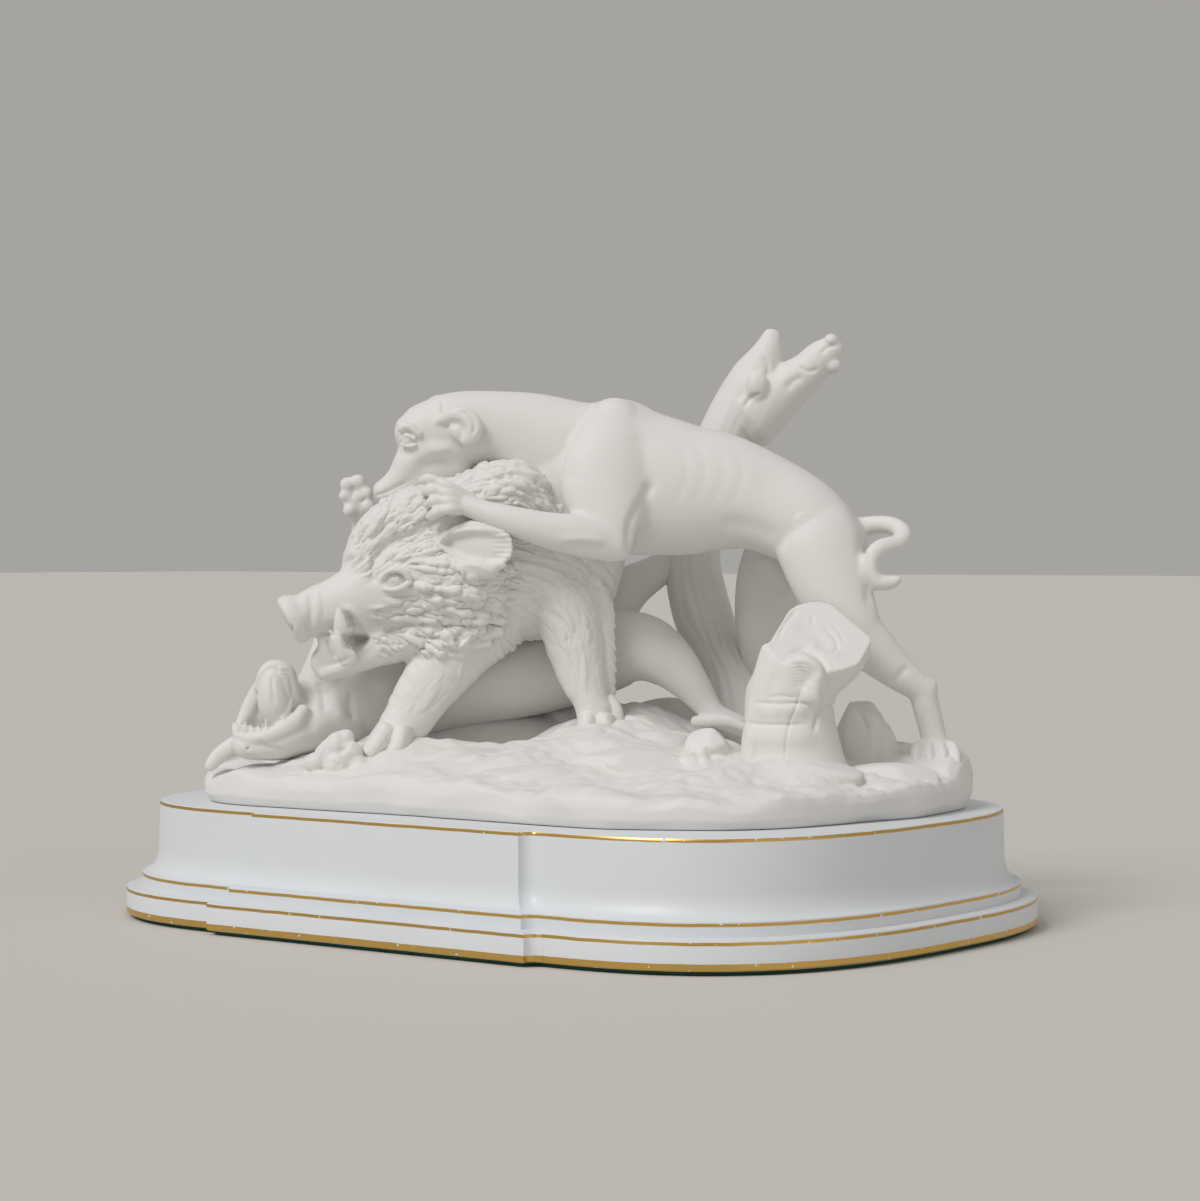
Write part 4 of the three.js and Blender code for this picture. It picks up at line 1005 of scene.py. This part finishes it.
# Two rusty specks from the kiln, on the upper hound's neck and on the ground at the left
specks = None
for x, y, z, size in ((-30.6, -8, 343.6, 2.2), (-176.5, -25, 98, 1.8)):
    middle = Matrix.Rotation(VIEW_TURN, 3, "Z") @ Vector((x, y, z)) * MM
    away = spot.node("ShaderNodeVectorMath", {"operation": "SUBTRACT"}, {0: spot, 1: middle})
    away = away.node("ShaderNodeVectorMath", {"operation": "MULTIPLY"}, {0: away, 1: (1, 1, 0.7)})
    gap = away.node("ShaderNodeVectorMath", {"operation": "LENGTH"}, {0: away}, out=1) * 1000.0
    speck = (1.6 - gap / size + (cloud - 0.5)).clamped()
    specks = speck if specks is None else specks + speck
skin_colour = specks.clamped().mixed(skin_colour, RUST)
skin_colour.feeds(shader, "Base Color")
grain = spot.clouded(1400.0, 2.0)
lumps = spot.clouded(90.0, 2.0)
bump = spot.node("ShaderNodeBump", {},
                 {"Height": grain * 0.12 + lumps * 0.35, "Strength": 0.6, "Distance": 0.0006})
bump.feeds(shader, "Normal")
shader.inputs["Specular IOR Level"].default_value = 0.35
for piece in (boar, upper_hound, lower_hound, tree, ground):
    marked_crevices(piece)
    piece.data.materials.clear()
    piece.data.materials.append(bisque)

# Plinth
# Turned and moulded wood, primed and painted white by brush, with its edges lined in gilt.
HALF_LENGTH, HALF_DEPTH, LOBE_FLAT, LOBE_POWER = 270, 184.3, 124.6, 2.72
BLOCK_HALF, BLOCK_PROUD = 106.7, 8
SLAB_SPREAD, SLAB_TOP, STEP_SPREAD, STEP_TOP, COVE_HIGH = 20.3, 20, 10.5, 29.5, 16
PLINTH_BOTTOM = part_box("plinth")[0].z / MM


def plinth_plan(out):
    """The outline of the plinth, pushed out by a distance, going round anticlockwise."""
    quarter = []
    for t in np.linspace(0, math.pi / 2, 44):
        bend = max(math.cos(t), 0) ** (2 / LOBE_POWER)
        quarter.append((LOBE_FLAT + (HALF_LENGTH + out - LOBE_FLAT) * bend,
                        (HALF_DEPTH + out) * math.sin(t) ** (2 / LOBE_POWER)))
    for t in np.linspace(0.05, 1, 8) * math.pi / 2:
        quarter.append((BLOCK_HALF + out + BLOCK_PROUD * (1 - math.sin(t)),
                        HALF_DEPTH + out + BLOCK_PROUD * (1 - math.cos(t))))
    upper = quarter + [(-x, y) for x, y in reversed(quarter)]
    return upper + [(x, -y) for x, y in reversed(upper[1:-1])]


PROFILE = [(SLAB_SPREAD - 0.8, PLINTH_BOTTOM), (SLAB_SPREAD, PLINTH_BOTTOM + 0.8),
           (SLAB_SPREAD, SLAB_TOP - 1.4), (SLAB_SPREAD - 0.4, SLAB_TOP - 0.4), (SLAB_SPREAD - 1.4, SLAB_TOP),
           (STEP_SPREAD, SLAB_TOP + 0.2), (STEP_SPREAD, STEP_TOP - 0.5), (STEP_SPREAD - 0.6, STEP_TOP)]
PROFILE += [(STEP_SPREAD - 1 - (STEP_SPREAD - 2) * math.sin(t), STEP_TOP + COVE_HIGH * (1 - math.cos(t)))
            for t in np.linspace(0.05, 1, 9) * math.pi / 2]
PROFILE += [(0.3, PLINTH_TOP - 2.4), (0.1, PLINTH_TOP - 1.4), (-0.6, PLINTH_TOP - 0.5), (-2, PLINTH_TOP)]
wood = bmesh.new()
before = None
for out, z in PROFILE:
    outline = plinth_plan(out)
    ring = bmesh.ops.create_circle(wood, cap_ends=False, segments=len(outline), radius=1)["verts"]
    for corner, (x, y) in zip(ring, outline):
        corner.co = (x * MM, y * MM, z * MM)
    edges = edges_round(ring)
    if before:
        bmesh.ops.bridge_loops(wood, edges=before + edges)
    else:
        bmesh.ops.contextual_create(wood, geom=edges)
    before = edges
bmesh.ops.contextual_create(wood, geom=before)
bmesh.ops.recalc_face_normals(wood, faces=wood.faces)
plinth = new_piece("painted_plinth", wood)
plinth.data.shade_smooth()
plinth.data.set_sharp_from_angle(angle=math.radians(30))

PAINT = (0.74, 0.77, 0.80, 1)
DULL_PAINT = (0.68, 0.70, 0.71, 1)
GILT = (0.72, 0.46, 0.13, 1)
# The lines go round at fixed heights, and are worn through in places
GILT_LINES = ((2.4, 6.6), (16.9, 18.8), (26.3, 28.2), (73.1, 75.0))
paint, shader, spot = new_material("white_and_gilt_paint", 0.4)
parts = spot.node("ShaderNodeSeparateXYZ", {}, {0: spot}, out=2)
wander = spot.clouded(60.0, 3.0)
height = parts * 1000.0 + (wander - 0.5) * 0.7
lines = None
for low, high in GILT_LINES:
    band = height.maths("GREATER_THAN", low) * height.maths("LESS_THAN", high)
    lines = band if lines is None else lines + band
lines = lines.clamped()
worn = spot.clouded(240.0, 4.0)
lines = lines * worn.maths("LESS_THAN", 0.68)
cloud = spot.clouded(9.0, 5.0)
shaded_paint = ((cloud - 0.45) * 1.2).clamped().mixed(PAINT, DULL_PAINT)
lines.mixed(shaded_paint, GILT).feeds(shader, "Base Color")
lines.feeds(shader, "Metallic")
(lines * -0.08 + 0.42).feeds(shader, "Roughness")
stretch = spot.node("ShaderNodeMapping", {}, {"Vector": spot, "Scale": (18.0, 18.0, 900.0)})
brush = stretch.clouded(1.0, 3.0)
bump = spot.node("ShaderNodeBump", {}, {"Height": brush, "Strength": 0.08, "Distance": 0.0006})
bump.feeds(shader, "Normal")
plinth.data.materials.append(paint)
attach(plinth, "root")
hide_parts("plinth")

# Baize pad
# Green woollen felt glued under the plinth so that it slides and doesn't scratch.
PAD_INSET = 4
PAD_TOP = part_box("baize_pad")[1].z / MM
felt = bmesh.new()
outline = plinth_plan(SLAB_SPREAD - PAD_INSET)
rim = bmesh.ops.create_circle(felt, cap_ends=True, segments=len(outline), radius=1)["verts"]
for corner, (x, y) in zip(rim, outline):
    corner.co = (x * MM, y * MM, 0)
thick = bmesh.ops.extrude_face_region(felt, geom=felt.faces[:])["geom"]
thick = [v for v in thick if isinstance(v, bmesh.types.BMVert)]
bmesh.ops.translate(felt, vec=(0, 0, PAD_TOP * MM), verts=thick)
bmesh.ops.recalc_face_normals(felt, faces=felt.faces)
pad = new_piece("green_baize", felt)
BAIZE_DARK = (0.008, 0.05, 0.03, 1)
BAIZE_LIGHT = (0.02, 0.10, 0.06, 1)
baize, shader, spot = new_material("green_baize", 0.95)
fuzz = spot.clouded(900.0, 3.0)
fuzz.mixed(BAIZE_DARK, BAIZE_LIGHT).feeds(shader, "Base Color")
pad.data.materials.append(baize)
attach(pad, "root")
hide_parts("baize_pad")

# Floor and lights
# A pale floor, a large soft light from the upper left and a weak fill from the right.
FLOOR_GREY = (0.64, 0.62, 0.585, 1)
WORLD_GREY = (0.635, 0.62, 0.60, 1)
studio = bmesh.new()
bmesh.ops.create_grid(studio, x_segments=1, y_segments=1, size=30)
floor = new_piece("floor", studio)
floor.location.z = -0.5 * MM
floor_paint, shader, spot = new_material("floor", 0.85)
shader.inputs["Base Color"].default_value = FLOOR_GREY
floor.data.materials.append(floor_paint)

world = bpy.data.worlds.new("studio")
world.use_nodes = True
world.node_tree.nodes["Background"].inputs["Color"].default_value = WORLD_GREY
world.node_tree.nodes["Background"].inputs["Strength"].default_value = 0.6
bpy.context.scene.world = world


def soft_light(name, across, away, up, power, angle, colour):
    """A broad studio light that shines on the group from where the viewer sees it."""
    light = bpy.data.objects.new(name, bpy.data.lights.new(name, "SUN"))
    light.data.energy = power
    light.data.angle = math.radians(angle)
    light.data.color = colour
    place = Matrix.Rotation(VIEW_TURN, 3, "Z") @ Vector((across, away, up))
    light.location = place
    light.rotation_euler = (-place).to_track_quat("-Z", "Y").to_euler()
    bpy.context.scene.collection.objects.link(light)


soft_light("key", -1.0, -1.0, 1.5, power=1.62, angle=26, colour=(1, 0.995, 0.99))
soft_light("fill", 1.4, -1.3, 0.5, power=0.22, angle=60, colour=(1, 0.94, 0.88))
bpy.context.scene.view_settings.view_transform = "Standard"
